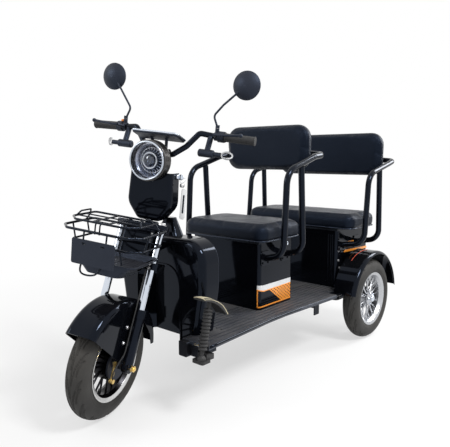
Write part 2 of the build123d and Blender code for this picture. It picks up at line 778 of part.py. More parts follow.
def basket():
    """Wire basket on the fork: two rings, struts to the yoke and hooks for the plate."""
    thick, thin = basket_wire_radius, basket_cross_radius
    low_front, low_rear = basket_front_x - 30, basket_rear_x + 5
    low_half = basket_ring_half_width - 13
    half = basket_ring_half_width
    wires = basket_ring(basket_front_x, basket_rear_x, half, basket_ring_z, thick)
    wires = wires + basket_ring(low_front, low_rear, low_half, basket_lower_ring_z, thick - 0.7)
    foot_z = tray_rim_z + thin + seat_clearance
    for y in (-half / 2, 0, half / 2):
        wires = wires + rod((low_front, y, basket_lower_ring_z), (low_front - 15, y, foot_z), thin)
    for side in (1, -1):
        for x in (basket_rear_x + 40, basket_rear_x + 120):
            wires = wires + rod((x, side * half, basket_ring_z),
                                (x, side * low_half, basket_lower_ring_z), thin)
        strut = rod((axis_x(upper_yoke_z), side * 60, upper_yoke_z),
                    (basket_rear_x, side * 60, basket_ring_z), thin)
        wires = wires + (strut - yoke_room(upper_yoke_z))
        hook_x = plate_x - thin - seat_clearance
        wires = wires + rod((basket_front_x, side * 45, basket_ring_z),
                            (hook_x, side * 45, basket_lower_ring_z + 3), thin)
        wires = wires + rod((hook_x, side * 45, basket_lower_ring_z + 3),
                            (low_front, side * 45, basket_lower_ring_z), thin - 0.4)
    add_steered("basket_wires", wires + basket_lid())


def basket_lid():
    """Wire lid with a hump at each side, standing on the basket ring."""
    thick, thin = basket_wire_radius - 0.6, basket_cross_radius
    front, rear = basket_front_x - 16, basket_rear_x + 22
    half, z = basket_lid_half_width, basket_lid_z
    wires = basket_ring(front, rear, half, z, thick)
    for side in (1, -1):
        hump = [(front - 50, side * (half - 3), z), (front - 62, side * (half - 14), z + 17),
                (rear + 46, side * (half - 14), z + 17), (rear + 34, side * (half - 3), z)]
        wires = wires + pipe(hump, thin, 7)
        wires = wires + rod((front, side * 30, z), (rear, side * 30, z), thin)
        leg_x = rear + 26
        wires = wires + rod((leg_x, side * half, z), (leg_x, side * basket_ring_half_width,
                                                       basket_ring_z), thin)
        hook = [(front - 20, side * 9, z), (front + 6, side * 9, z - 2), (front + 8, side * 9, z - 38)]
        wires = wires + pipe(hook, thin - 0.4, 8)
    for x in (front - 62, rear + 58):
        wires = wires + rod((x, -half, z), (x, half, z), thin - 0.4)
    wires = wires + rod((front - 20, -34, z), (front - 20, 34, z), thin - 0.6)
    return wires


def tray_level(z, x, depth, half, inset):
    return Plane(origin=(0, 0, z)) * Pos(x, 0) * RectangleRounded(
        depth - 2 * inset, 2 * (half - inset), 30 - inset)


def basket_tray():
    """Shallow moulded dish with a lip and grooves in its floor."""
    rim_x = axis_ground_x - 89
    foot_x = axis_ground_x - 71
    half = tray_half_width
    tray = loft([tray_level(tray_rim_z, rim_x, 178, half - 3, 0),
                 tray_level(tray_bottom_z, foot_x, 140, 75, 0)])
    lip = extrude(tray_level(tray_rim_z - 5, rim_x, 184, half, 0), 5)
    floor_z = tray_rim_z - tray_depth
    dish = loft([tray_level(tray_rim_z + 0.1, rim_x, 184, half, 6),
                 tray_level(floor_z, rim_x + 4, 166, half - 10, 6)])
    under = loft([tray_level(floor_z - tray_wall, rim_x + 5, 160, half - 14, 6),
                  tray_level(tray_bottom_z - 0.1, foot_x, 140, 75, tray_wall)])
    body = tray + lip - dish - under
    for i in range(-2, 3):
        body = body - box(rim_x - 62, rim_x + 66, i * 36 - 3, i * 36 + 3, floor_z - 1.2, floor_z + 1)
    body = body + box(foot_x - 30, foot_x + 20, -30, 30, tray_bottom_z, floor_z - 1)
    add_steered("basket_tray", body)


def basket_plate():
    """Blank plate with two slots and a rounded outline, hung on the basket's hooks."""
    plate = box(plate_x, plate_x + plate_thickness, -plate_half_width, plate_half_width,
                plate_bottom_z, plate_bottom_z + plate_height)
    plate = fillet(plate.edges().filter_by(Axis.X), 7)
    slot_z = plate_bottom_z + plate_height - 14
    for side in (1, -1):
        slot = Plane(origin=(plate_x - 1, side * 37, slot_z), x_dir=(0, 1, 0), z_dir=(1, 0, 0))
        plate = plate - extrude(slot * SlotOverall(17, 8), plate_thickness + 2)
    add_steered("basket_plate", plate)


# ---------------------------------------------------------------- body panels
def floor_board():
    """Flat board, notched round the leg shield, with a rolled edge and lengthwise ribs."""
    notch_x = shield_recess_x - recess_lip - shield_wall - seat_clearance
    inner = rear_box_half_width - 4
    rear = rear_box_x[1] + seat_clearance
    outline = Polyline(
        (floor_front_x, floor_end_half_width), (floor_waist_x + 60, floor_waist_half_width),
        (floor_waist_x - 60, floor_waist_half_width), (floor_rear_x, floor_end_half_width),
        (floor_rear_x, inner), (rear, inner), (rear, 0), (notch_x, 0),
        (notch_x, apron_half_width + 4), (floor_front_x, apron_half_width + 4), close=True)
    half = extrude(make_face(outline), floor_thickness)
    rim = [edge for edge in half.edges().group_by(Axis.Z)[-1]
           if edge.center().Y > floor_waist_half_width - 1 or edge.center().X > floor_front_x - 1]
    half = fillet(rim, floor_lip_radius)
    board = Pos(0, 0, floor_top_z - floor_thickness) * (half + mirrored(half))
    board = board - rod((down_tube_x, 0, 0), (down_tube_x, 0, 2 * floor_top_z),
                        down_tube_radius + seat_clearance)
    ribs = []
    for side in (1, -1):
        for i in range(9):
            y = side * (floor_waist_half_width - 16 - i * rib_spacing)
            beside_shield = abs(y) > shield_half_width + 10
            x1 = floor_front_x - 12 if beside_shield else inner_shield_x - 20
            x0 = floor_rear_x + 6 if abs(y) > rear_box_half_width else rear_box_x[1] + 12
            whole = box(x0, x1, y - 4, y + 4, floor_top_z - 1, floor_top_z + 3)
            if abs(y) < front_box_half_width + 8:
                whole = whole - box(front_box_x[0] - 12, front_box_x[1] + 12, y - 10, y + 10,
                                    floor_top_z - 5, floor_top_z + 9)
            ribs.append(whole)
    add("floor_board", fuse([board] + ribs))


def down_tube(radius):
    """Tube from the floor frame up behind the shield and forward to the head tube."""
    head_z = (lower_yoke_z + upper_yoke_z) / 2 + 3
    route = [(down_tube_x, 0, floor_top_z - floor_thickness - rail_height),
             (down_tube_x, 0, shield_top_z - 70), (axis_x(head_z), 0, head_z)]
    return pipe(route, radius, 60)


def shield_form(inset, front_x, back_x, low_z):
    """Rounded block of the shield's outline, drawn in by inset on every side."""
    half = shield_half_width - inset
    top = shield_top_z - inset
    taper = shield_taper * (shield_taper_z - low_z) / (shield_taper_z - floor_top_z)
    outline = Polyline((-half + taper, low_z), (-half, shield_taper_z), (-half, top),
                       (half, top), (half, shield_taper_z), (half - taper, low_z), close=True)
    plane = Plane(origin=(back_x, 0, 0), x_dir=(0, 1, 0), z_dir=(1, 0, 0))
    form = extrude(plane * make_face(outline), front_x - back_x)
    waists = [edge for edge in form.edges().filter_by(Axis.X)
              if abs(edge.center().Z - shield_taper_z) < 1]
    form = fillet(waists, 3 * shield_corner_radius)
    corners = form.edges().filter_by(Axis.X).group_by(Axis.Z)[-1]
    return fillet(corners, shield_corner_radius - inset)


def roll_rim(form, radius, low_z):
    rim = [edge for edge in form.edges().group_by(Axis.X)[-1] if edge.center().Z > low_z + 10]
    return fillet(rim, radius)


def recess_arch(x, grow, half, top, radius):
    """Arched doorway outline across the vehicle at x, grown outwards by grow."""
    plane = Plane(origin=(x, 0, 0), x_dir=(0, 1, 0), z_dir=(1, 0, 0))
    wide, low = half + grow, shield_apron_z - 5
    outline = make_face(Polyline((-wide, low), (-wide, top + grow), (wide, top + grow),
                                 (wide, low), close=True))
    tops = outline.vertices().group_by(Axis.Y)[-1]
    return plane * fillet(tops, radius + grow)


def recess_form(grow, front_x):
    """Wheel recess that narrows towards its back, grown outwards by grow."""
    back = recess_arch(shield_recess_x - grow, grow, recess_back_half_width,
                       recess_top_z - 26, recess_arch_radius - 18)
    front = recess_arch(shield_face_x, grow, recess_half_width, recess_top_z,
                        recess_arch_radius)
    form = loft([back, front])
    if front_x > shield_face_x:
        mouth = recess_arch(shield_face_x, grow, recess_half_width, recess_top_z,
                            recess_arch_radius)
        form = form + extrude(mouth, front_x - shield_face_x)
    return form


def shield_neck(inset):
    """Tapered cover that rises from the shield's top behind the steering head."""
    back_x = shield_face_x - shield_depth + 6 + inset
    low = Plane(origin=(back_x + 28, 0, shield_top_z - 26)) * RectangleRounded(
        62 - 2 * inset, 2 * (neck_half_width - inset), 16 - inset)
    high = Plane(origin=(back_x + 14, 0, neck_top_z - inset)) * RectangleRounded(
        30 - 2 * inset, 46 - 2 * inset, 10 - inset)
    return loft([low, high])


def leg_shield():
    """Front shell with a rolled rim, a neck behind the head and an arched wheel recess."""
    back_x = shield_face_x - shield_depth
    low_z = floor_top_z + seat_clearance
    solid = roll_rim(shield_form(0, shield_face_x, back_x, low_z), shield_rim_radius, low_z)
    under = low_z - 20
    hollow = shield_form(shield_wall, shield_face_x - shield_wall, back_x - 5, under)
    hollow = roll_rim(hollow, shield_rim_radius - shield_wall, under)
    shell = solid + shield_neck(0) - hollow - shield_neck(shield_wall)
    apron = box(shield_face_x - shield_wall, shield_face_x, -apron_half_width,
                apron_half_width, shield_apron_z, low_z + 10)
    lip = extrude(recess_arch(shield_face_x - 1, recess_lip, recess_half_width, recess_top_z,
                              recess_arch_radius), recess_lip + 1)
    lip = lip & box(0, 2 * shield_face_x, -400, 400, shield_apron_z, 600)
    shell = shell + apron + lip
    walls = recess_form(shield_wall, shield_face_x) & box(
        0, shield_face_x, -400, 400, shield_apron_z, 700)
    shell = shell + walls - recess_form(0, shield_face_x + 20)
    add("leg_shield", shell - down_tube(down_tube_radius + 2))


def inner_shield():
    panel = shield_form(6, inner_shield_x + inner_shield_thickness, inner_shield_x,
                        floor_top_z + seat_clearance)
    add("inner_shield", panel - down_tube(down_tube_radius + 2))


def seat_box(name, xs, half):
    """Open-topped box with a shallow pressed panel in its front."""
    z0 = floor_top_z + seat_clearance
    z1 = box_top_z - seat_clearance
    outer = box(xs[0], xs[1], -half, half, z0, z1)
    outer = fillet(outer.edges().filter_by(Axis.Z), 18)
    inner = box(xs[0] + box_wall, xs[1] - box_wall, -half + box_wall, half - box_wall,
                z0 + box_wall, z1 + 10)
    inner = fillet(inner.edges().filter_by(Axis.Z), 18 - box_wall)
    panel = box(xs[1] - panel_depth, xs[1] + 5, -half + panel_inset, half - panel_inset,
                z0 + panel_inset, z1 - panel_inset)
    panel = fillet(panel.edges().filter_by(Axis.X), 10)
    add(name, outer - inner - panel)


def seat(prefix, xs, half, box_xs, box_half):
    pan = box(box_xs[0] + 4, box_xs[1] + 8, -box_half - 4, box_half + 4, box_top_z, seat_base_z)
    add(prefix + "_seat_pan", pan)
    z0 = seat_base_z + seat_clearance
    pad = box(xs[0], xs[1], -half, half, z0, z0 + cushion_thickness)
    pad = fillet(pad.edges().filter_by(Axis.Z), 40)
    pad = fillet(pad.edges().group_by(Axis.Z)[-1], 22)
    add(prefix + "_cushion", pad)


def backrest(prefix, face_x, half, zs):
    pad = box(face_x - backrest_thickness, face_x, -half, half, zs[0], zs[1])
    pad = fillet(pad.edges().filter_by(Axis.X), 50)
    pad = fillet(pad.edges().group_by(Axis.X)[-1], 16)
    add(prefix + "_backrest", pad)


# ---------------------------------------------------------------- arm tubes
def arm_foot(x, side, box_half, z):
    """Plate that bolts an arm tube to the side of its seat box."""
    inner, outer = side * (box_half + seat_clearance), side * (box_half + 5)
    plate = box(x - arm_plate, x + arm_plate, min(inner, outer), max(inner, outer),
                z - arm_plate, z + arm_plate)
    plate = fillet(plate.edges().filter_by(Axis.Y), 12)
    for across in (-0.6, 0.6):
        bolt = y_cylinder(x + across * arm_plate, z - 0.6 * arm_plate, outer - side, outer + side * 4, 5)
        plate = plate + bolt
    return plate


def arm_loop(y, foot_x, foot_z, front_bend, rear_end, back_x, back_z, box_half):
    """Front tube of an armrest: out of the box, up, back along the arm and in behind the back."""
    side = 1 if y > 0 else -1
    start = side * (box_half + 2)
    route = [(foot_x, start, foot_z), (foot_x, y, foot_z + 22),
             (front_bend[0], y, front_bend[1]), (rear_end[0], y, rear_end[1]),
             (back_x, y, back_z), (back_x, y - side * 75, back_z + 6)]
    tube = pipe(route, arm_radius, [arm_bend, arm_bend + 18, 60, 24])
    tube = tube & box(-2000, 2000, *sorted((side * (box_half + seat_clearance), side * 600)), 0, 2000)
    return tube + arm_foot(foot_x, side, box_half, foot_z)


def rear_post(top, foot_x, foot_z, y, box_half):
    side = 1 if y > 0 else -1
    start = side * (box_half + 2)
    route = [(foot_x, start, foot_z), (foot_x, y, foot_z + 22), (top[0], y, top[1])]
    tube = pipe(route, arm_radius, arm_bend)
    tube = tube & box(-2000, 2000, *sorted((side * (box_half + seat_clearance), side * 600)), 0, 2000)
    return tube + arm_foot(foot_x, side, box_half, foot_z)


def arms():
    for side, name in ((1, "left"), (-1, "right")):
        y = side * front_arm_y
        back_x = front_back_face_x - backrest_thickness - arm_radius - seat_clearance
        foot_x, post_x = front_box_x[1] - 42, front_box_x[0] + 66
        loop = arm_loop(y, foot_x, 508, (7, 886), (-209, 949), back_x, 957,
                        front_box_half_width)
        post = rear_post((-100, 905), post_x, 508, y, front_box_half_width)
        add("front_arm_" + name, loop + post)
        y = side * rear_arm_y
        back_x = rear_back_face_x - backrest_thickness - arm_radius - seat_clearance
        foot_x, post_x = rear_box_x[1] - 40, rear_box_x[0] + 134
        loop = arm_loop(y, foot_x, 500, (-587, 861), (-812, 912), back_x, 926,
                        rear_box_half_width)
        post = rear_post((-705, 880), post_x, 500, y, rear_box_half_width)
        add("rear_arm_" + name, loop + post)


def rear_bar():
    """Grab rail behind the rear box."""
    back = rear_box_x[0] - seat_clearance
    far, half, z = back - rear_bar_reach, rear_bar_half_width, 520
    route = [(back + 1, half, z + 8), (far, half, z), (far, -half, z), (back + 1, -half, z + 8)]
    rail = pipe(route, rear_bar_radius, 26)
    rail = rail & box(-2000, back, -400, 400, 0, 1000)
    for side in (1, -1):
        rail = rail + rod((back, side * half, z + 8), (back - 3, side * half, z + 8), 14)
    add("rear_bar", rail)


# ---------------------------------------------------------------- frame and running gear
def frame():
    z1 = floor_top_z - floor_thickness - seat_clearance
    z0 = z1 - rail_height
    nose_x = shield_face_x - 10
    pieces = []
    for side in (1, -1):
        y = side * rail_half_spacing
        pieces.append(box(rear_box_x[1] - 20, nose_x, y - rail_width / 2, y + rail_width / 2, z0, z1))
        pieces.append(box(rear_box_x[0] - 4, rear_box_x[1] - 2, y - rail_width / 2, y + rail_width / 2,
                          rail_kick_z - rail_height, rail_kick_z))
        y0, y1 = side * rail_half_spacing, side * (pedal_y - 38)
        pieces.append(box(nose_x - 40, nose_x, min(y0, y1), max(y0, y1), z0, z1))
        y0 = side * (apron_half_width + 6)
        pieces.append(box(nose_x - 10, floor_front_x + 2, min(y0, y1), max(y0, y1), z0, z1))
        block = box(floor_front_x + seat_clearance, floor_front_x + 22, min(y0, side * 224), max(y0, side * 224),
                    z0 - 2, floor_top_z - 2)
        block = fillet(block.edges().filter_by(Axis.X), 5)
        pieces.append(block)
        y0, y1 = side * (rail_half_spacing + 10), side * (floor_waist_half_width - 30)
        pieces.append(box(-300, -272, min(y0, y1), max(y0, y1), z0 + 6, z1))
        hanger = box(-306, -266, min(y1, y1 + side * 6), max(y1, y1 + side * 6), z0 - 26, z1)
        pieces.append(hanger)
    for x in (-160, 100, down_tube_x):
        pieces.append(box(x - 18, x + 18, -rail_half_spacing, rail_half_spacing, z0, z1))
    for x in (rear_box_x[0] + 14, rear_box_x[1] - 16):
        pieces.append(box(x - 14, x + 14, -rail_half_spacing, rail_half_spacing,
                          rail_kick_z - rail_height, rail_kick_z - 8))
    down = down_tube(down_tube_radius)
    head_low = along_axis(lower_yoke_z) + yoke_thickness / 2 + 0.5
    head_high = along_axis(upper_yoke_z) - yoke_thickness / 2 - 0.5
    ground = axis_plane(0)
    head = ground * Pos(0, 0, (head_low + head_high) / 2) * Cylinder(head_tube_radius, head_high - head_low)
    bore = ground * Pos(0, 0, (head_low + head_high) / 2) * Cylinder(
        stem_radius + fit_clearance, head_high - head_low + 40)
    body = fuse(pieces + [down, head]) - bore
    add("frame", body)


def rear_gear():
    """Axle with its final drive and drums, and the motor in front of it."""
    x, z = rear_axle_x, rear_axle_z
    y_drum = rear_track / 2 - 26
    shaft_end = rear_track / 2 + 13
    tube = y_cylinder(x, z, -y_drum + 16, y_drum - 16, axle_tube_radius)
    housing = y_cylinder(x, z, 10, 70, diff_radius)
    ends = []
    for side in (1, -1):
        ends.append(y_cylinder(x, z, side * (y_drum - 40), side * (y_drum - 4), drum_radius))
        ends.append(y_cylinder(x, z, side * (y_drum - 20), side * shaft_end, rear_shaft_radius))
    add("rear_axle", fuse([tube, housing] + ends))
    motor = y_cylinder(x + 104, z - 6, -105, 68, 50) + box(x + 40, x + 104, 15, 65, z - 30, z + 30)
    motor = motor - y_cylinder(x, z, -20, 100, diff_radius + seat_clearance)
    motor = motor - y_cylinder(x, z, -200, 200, axle_tube_radius + seat_clearance)
    add("motor", motor)


def rear_springs():
    """Leaf springs slung under the axle, with their hangers below the frame rails."""
    low = rear_axle_z - axle_tube_radius
    rail_low = rail_kick_z - rail_height - seat_clearance
    springs = []
    for side in (1, -1):
        y = side * rail_half_spacing
        eyes = [(rear_axle_x - spring_half_length, rail_low - 16),
                (rear_axle_x + spring_half_length, rail_low - 16)]
        sheet = Plane(origin=(0, y, 0), x_dir=(1, 0, 0), z_dir=(0, -1, 0))
        top = ThreePointArc(eyes[0], (rear_axle_x, low - seat_clearance), eyes[1])
        under = ThreePointArc((eyes[1][0], eyes[1][1] - 8), (rear_axle_x, low - 14),
                              (eyes[0][0], eyes[0][1] - 8))
        edges = [top, Line(top @ 1, under @ 0), under, Line(under @ 1, top @ 0)]
        leaf = extrude(sheet * make_face(edges), spring_width / 2, both=True)
        pieces = [leaf]
        for x, z in eyes:
            pieces.append(y_cylinder(x, z - 4, y - spring_width / 2, y + spring_width / 2, 11))
            for edge in (-1, 1):
                wall = y + edge * (spring_width / 2 + 2)
                pieces.append(box(x - 13, x + 13, wall - 2, wall + 2, z - 16, rail_low))
        saddle = box(rear_axle_x - 26, rear_axle_x + 26, y - 26, y + 26, low - 10, rear_axle_z - 6)
        saddle = saddle - y_cylinder(rear_axle_x, rear_axle_z, y - 40, y + 40,
                                     axle_tube_radius + seat_clearance)
        springs.append(fuse(pieces + [saddle]))
    add("rear_springs", fuse(springs))


def rear_guard():
    """Left rear mudguard: a crowned arch with a rolled outer lip and a straight tail."""
    y0, y1 = guard_rear_inner_y, guard_rear_outer_y
    r = guard_rear_radius
    outer = rod((0, y0, 0), (0, y1, 0), r)
    outer = fillet(outer.edges().filter_by(GeomType.CIRCLE).sort_by(Axis.Y)[-1], 20)
    room = rod((0, y0 + 3, 0), (0, y1 - 3, 0), r - 3)
    room = fillet(room.edges().filter_by(GeomType.CIRCLE).sort_by(Axis.Y)[-1], 17)
    mouth = rod((0, y1 - 24, 0), (0, y1 + 5, 0), r - 17)
    shell = outer - room - mouth
    shell = shell - rod((0, y0 - 5, 0), (0, y0 + 8, 0), 130)
    big = 2 * r
    a0, a1 = radians(14), radians(172)
    region = Polyline((0, 0), (big * cos(a0), big * sin(a0)), (big, big), (-big, big),
                      (big * cos(a1), big * sin(a1)), close=True)
    mask = extrude(Plane.XZ * make_face(region), 2 * y1, both=True)
    return shell & mask


def rear_guards():
    for side, name in ((1, "left"), (-1, "right")):
        guard = Pos(rear_axle_x, 0, rear_axle_z) * rear_guard()
        for x in (rear_axle_x - 100, rear_axle_x + 100):
            guard = guard + y_cylinder(x, rear_axle_z + 173, rear_box_half_width + seat_clearance,
                                       guard_rear_inner_y + 2, 12)
        if side < 0:
            guard = mirrored(guard)
        add("rear_mudguard_" + name, guard)


def rear_lamps():
    """Red reflectors on the tails of the rear mudguards."""
    lamps = []
    turn = radians(148)
    r = guard_rear_radius + seat_clearance
    x, z = rear_axle_x + r * cos(turn), rear_axle_z + r * sin(turn)
    for side in (1, -1):
        y = side * (guard_rear_inner_y + guard_rear_outer_y) / 2
        lens = Box(6, 54, 26)
        lens = fillet(lens.edges().group_by(Axis.X)[0], 2)
        lamps.append(Pos(x, y, z) * Rot(0, 180 - degrees(turn), 0) * Pos(-3.4, 0, 0) * lens)
    add("tail_lamps", fuse(lamps))


def battery():
    x0, x1 = front_box_x[0] + battery_margin, front_box_x[1] - battery_margin
    z0 = floor_top_z + box_wall + 2 * seat_clearance
    half = front_box_half_width - battery_margin
    add("battery", box(x0, x1, -half, half, z0, z0 + battery_height))


def pedal_points():
    """Top and foot of the pedal's rod."""
    foot_x = floor_front_x + 25
    return (floor_front_x - 21, pedal_y, 447), (foot_x, pedal_y, 246)


def brake_pedal():
    """Foot brake at the left front corner of the floor: pad, rod, pivot ball and bracket."""
    x, y = floor_front_x, pedal_y
    side_plane = Plane(origin=(0, y, 0), x_dir=(1, 0, 0), z_dir=(0, -1, 0))
    top = Spline((x + 32, 462), (x - 10, 452), (x - 58, 424), (x - 88, 384))
    under = Spline((x - 80, 380), (x - 50, 412), (x - 8, 440), (x + 32, 451))
    edges = [top, Line(top @ 1, under @ 0), under, Line(under @ 1, top @ 0)]
    pad = extrude(side_plane * make_face(edges), 27, both=True)
    head, foot = pedal_points()
    arm = rod(head, foot, pedal_rod_radius)
    z0 = floor_top_z - floor_thickness - rail_height - 2
    bracket = box(foot[0] - 30, foot[0] + 16, y - 34, y + 20, z0, z0 + 12)
    bracket = fillet(bracket.edges().filter_by(Axis.Z), 8)
    ball = Pos(foot[0], y, z0 + 14) * Sphere(17)
    cheek = box(foot[0] - 32, foot[0] - 12, y - 30, y + 14, z0 + 8, z0 + 30)
    tab = box(x - 30, foot[0] - 20, y - 37.7, y + 10, z0 + 4, z0 + 24)
    add("brake_pedal", fuse([pad, arm, bracket, ball, cheek, tab, pedal_boot()]))


def pedal_boot():
    """Ribbed bellows round the pedal's rod."""
    head, foot = Vector(*pedal_points()[0]), Vector(*pedal_points()[1])
    along = (head - foot).normalized()
    start = foot + along * 22
    length = (head - start).length - 34
    step = length / boot_rings
    bore = pedal_rod_radius - 2
    points = [(bore, 0)]
    for i in range(boot_rings):
        points.append((boot_radius - 4, i * step))
        points.append((boot_radius, (i + 0.3) * step))
        points.append((boot_radius, (i + 0.6) * step))
        points.append((boot_radius - 4, (i + 0.9) * step))
    points.append((bore, length))
    sleeve = revolve(make_face(Polyline(*points, close=True)), Axis.Y, 360)
    plane = Plane(origin=tuple(start), z_dir=tuple(along))
    return plane * Rot(90, 0, 0) * sleeve


def brake_cable():
    """Front brake cable: from the lower yoke down before the left leg to the brake arm."""
    ground = axis_plane(0)
    top = along_axis(lower_yoke_z) - yoke_thickness / 2 - seat_clearance
    before_leg = fork_offset + leg_radius + 10
    end_x, end_z = brake_arm_end()
    points = [ground * Pos(fork_offset + 16, fork_half_spacing - 14, top),
              ground * Pos(before_leg, fork_half_spacing - 6, along_axis(leg_top_z) - 10),
              ground * Pos(before_leg, fork_half_spacing - 6, fork_axle_distance() + 48)]
    route = [tuple(point.position) for point in points]
    beside_arm = 56 + cable_radius + 0.6
    route.append((end_x, beside_arm, end_z + 36))
    route.append((end_x, beside_arm, end_z + 8 + seat_clearance))
    add_steered("brake_cable", pipe(route, cable_radius, 55))


wheels()
fork()
fork_shroud()
front_axle()
brake_plate()
front_guard()
headlight()
headlight_reflector()
nose_cover()
dashboard()
handlebar()
mirrors()
indicators()
basket()
basket_tray()
basket_plate()
floor_board()
leg_shield()
inner_shield()
seat_box("front_seat_box", front_box_x, front_box_half_width)
seat_box("rear_seat_box", rear_box_x, rear_box_half_width)
seat("front", front_cushion_x, front_cushion_half_width, front_box_x, front_box_half_width)
seat("rear", rear_cushion_x, rear_cushion_half_width, rear_box_x, rear_box_half_width)
backrest("front", front_back_face_x, front_back_half_width, front_back_z)
backrest("rear", rear_back_face_x, rear_back_half_width, rear_back_z)
arms()
rear_bar()
frame()
rear_gear()
rear_springs()
rear_guards()
rear_lamps()
battery()
brake_pedal()
brake_cable()

os.makedirs("parts", exist_ok=True)
for name, shape in parts.items():
    export_step(shape, "parts/" + name + ".step")
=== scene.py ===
"""Finishes for the electric passenger trike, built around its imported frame."""
import json
import math

import bmesh
import bpy
from mathutils import Matrix, Vector


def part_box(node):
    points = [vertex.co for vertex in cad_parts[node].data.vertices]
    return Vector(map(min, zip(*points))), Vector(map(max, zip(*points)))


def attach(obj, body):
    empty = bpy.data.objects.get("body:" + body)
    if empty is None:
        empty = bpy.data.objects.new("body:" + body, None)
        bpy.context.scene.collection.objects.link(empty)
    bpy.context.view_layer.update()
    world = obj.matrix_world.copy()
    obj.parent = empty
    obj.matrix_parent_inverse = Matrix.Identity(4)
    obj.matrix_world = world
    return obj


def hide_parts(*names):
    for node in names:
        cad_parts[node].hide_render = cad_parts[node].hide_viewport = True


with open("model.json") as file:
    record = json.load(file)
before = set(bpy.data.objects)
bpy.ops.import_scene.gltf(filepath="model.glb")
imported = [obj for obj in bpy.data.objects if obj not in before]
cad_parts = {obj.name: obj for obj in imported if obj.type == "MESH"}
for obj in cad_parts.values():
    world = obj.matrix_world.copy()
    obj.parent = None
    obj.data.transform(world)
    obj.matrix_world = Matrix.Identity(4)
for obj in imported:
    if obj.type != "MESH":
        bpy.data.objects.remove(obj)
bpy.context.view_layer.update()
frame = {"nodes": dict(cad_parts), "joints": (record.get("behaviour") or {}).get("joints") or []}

bl_info = {
    "name": "Electric Trike Finishes",
    "version": (1, 0, 0),
    "blender": (4, 5, 0),
    "location": "View3D > Sidebar > Trike",
    "description": "Builds tyres, seats, lamps, trim and the stage around the packed trike frame",
    "category": "Object",
}

NODES = frame["nodes"]
JOINTS = {joint["name"]: joint for joint in frame["joints"]}


# ---------------------------------------------------------------- places read from the frame
def joint_place(name):
    joint = JOINTS[name]
    return Vector(joint["pos_m"]), Vector(joint["axis"]).normalized()


def box_centre(node):
    low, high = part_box(node)
    return (low + high) / 2


STEER_POINT, STEER_AXIS = joint_place("steering")
FRONT_HUB, FRONT_SPIN = joint_place("front_wheel_spin")
STEER_TURN = math.atan2(-FRONT_SPIN.x / STEER_AXIS.z, FRONT_SPIN.y)
STEERED = (Matrix.Translation(STEER_POINT) @ Matrix.Rotation(STEER_TURN, 4, STEER_AXIS)
           @ Matrix.Translation(-STEER_POINT))
REAR_HUB = box_centre("rear_tyre_left")


# ---------------------------------------------------------------- settings
class TrikeSizes(bpy.types.PropertyGroup):
    """Sizes of the pieces that dress the frame."""
    tread_depth: bpy.props.FloatProperty(
        name="Tread depth", description="Depth of the tyre grooves", default=0.004, unit="LENGTH")
    piping_radius: bpy.props.FloatProperty(
        name="Piping radius", description="Radius of the welt sewn round each cushion",
        default=0.0028, unit="LENGTH")
    cushion_crown: bpy.props.FloatProperty(
        name="Cushion crown", description="How far the padding swells above its edge",
        default=0.008, unit="LENGTH")
    bolt_size: bpy.props.FloatProperty(
        name="Bolt size", description="Width across the flats of the common bolts",
        default=0.011, unit="LENGTH")


class TrikeColours(bpy.types.PropertyGroup):
    """Colours of the main finishes."""
    paint: bpy.props.FloatVectorProperty(
        name="Paint", description="Gloss body colour", subtype="COLOR", size=3,
        default=(0.0018, 0.0021, 0.0030))
    vinyl: bpy.props.FloatVectorProperty(
        name="Vinyl", description="Seat cover colour", subtype="COLOR", size=3,
        default=(0.0026, 0.0040, 0.0078))
    accent: bpy.props.FloatVectorProperty(
        name="Accent", description="Orange of the stripes", subtype="COLOR", size=3,
        default=(0.78, 0.26, 0.025))
    reflection: bpy.props.FloatVectorProperty(
        name="Reflection tint", description="Cool tint of the reflections in the black gloss",
        subtype="COLOR", size=3, default=(0.50, 0.66, 1.0))


def sizes():
    return bpy.context.scene.trike_sizes


def colours():
    return bpy.context.scene.trike_colours


# ---------------------------------------------------------------- shader groups
def new_group(name, inputs, output):
    """Node group that takes a Vector and some numbers and puts out one number.

    Returns the group, the sockets that carry its inputs and the socket to feed."""
    group = bpy.data.node_groups.new(name, "ShaderNodeTree")
    group.interface.new_socket("Vector", in_out="INPUT", socket_type="NodeSocketVector")
    for label, value in inputs.items():
        socket = group.interface.new_socket(label, in_out="INPUT", socket_type="NodeSocketFloat")
        socket.default_value = value
    group.interface.new_socket(output, in_out="OUTPUT", socket_type="NodeSocketFloat")
    entry = group.nodes.new("NodeGroupInput")
    leave = group.nodes.new("NodeGroupOutput")
    return group, entry.outputs, leave.inputs[output]


def add_node(tree, kind, inputs, **settings):
    """Shader node with its settings; each input is a value or the socket that feeds it."""
    node = tree.nodes.new("ShaderNode" + kind)
    for name, value in settings.items():
        setattr(node, name, value)
    for key, value in inputs.items():
        if isinstance(value, bpy.types.NodeSocket):
            tree.links.new(value, node.inputs[key])
        else:
            node.inputs[key].default_value = value
    return node


def grain_group():
    """Leather-like cells over fine noise, as a height."""
    group, given, height = new_group("Grain", {"Scale": 300.0}, "Height")
    place = {"Vector": given["Vector"], "Scale": given["Scale"]}
    cells = add_node(group, "TexVoronoi", place, feature="DISTANCE_TO_EDGE")
    fine = add_node(group, "TexNoise", {**place, "Detail": 4.0})
    clamp = add_node(group, "MapRange", {"Value": cells.outputs["Distance"], "From Max": 0.25})
    total = add_node(group, "Math", {0: fine.outputs["Fac"], 1: 0.35,
                                     2: clamp.outputs["Result"]}, operation="MULTIPLY_ADD")
    group.links.new(total.outputs["Value"], height)
    return group


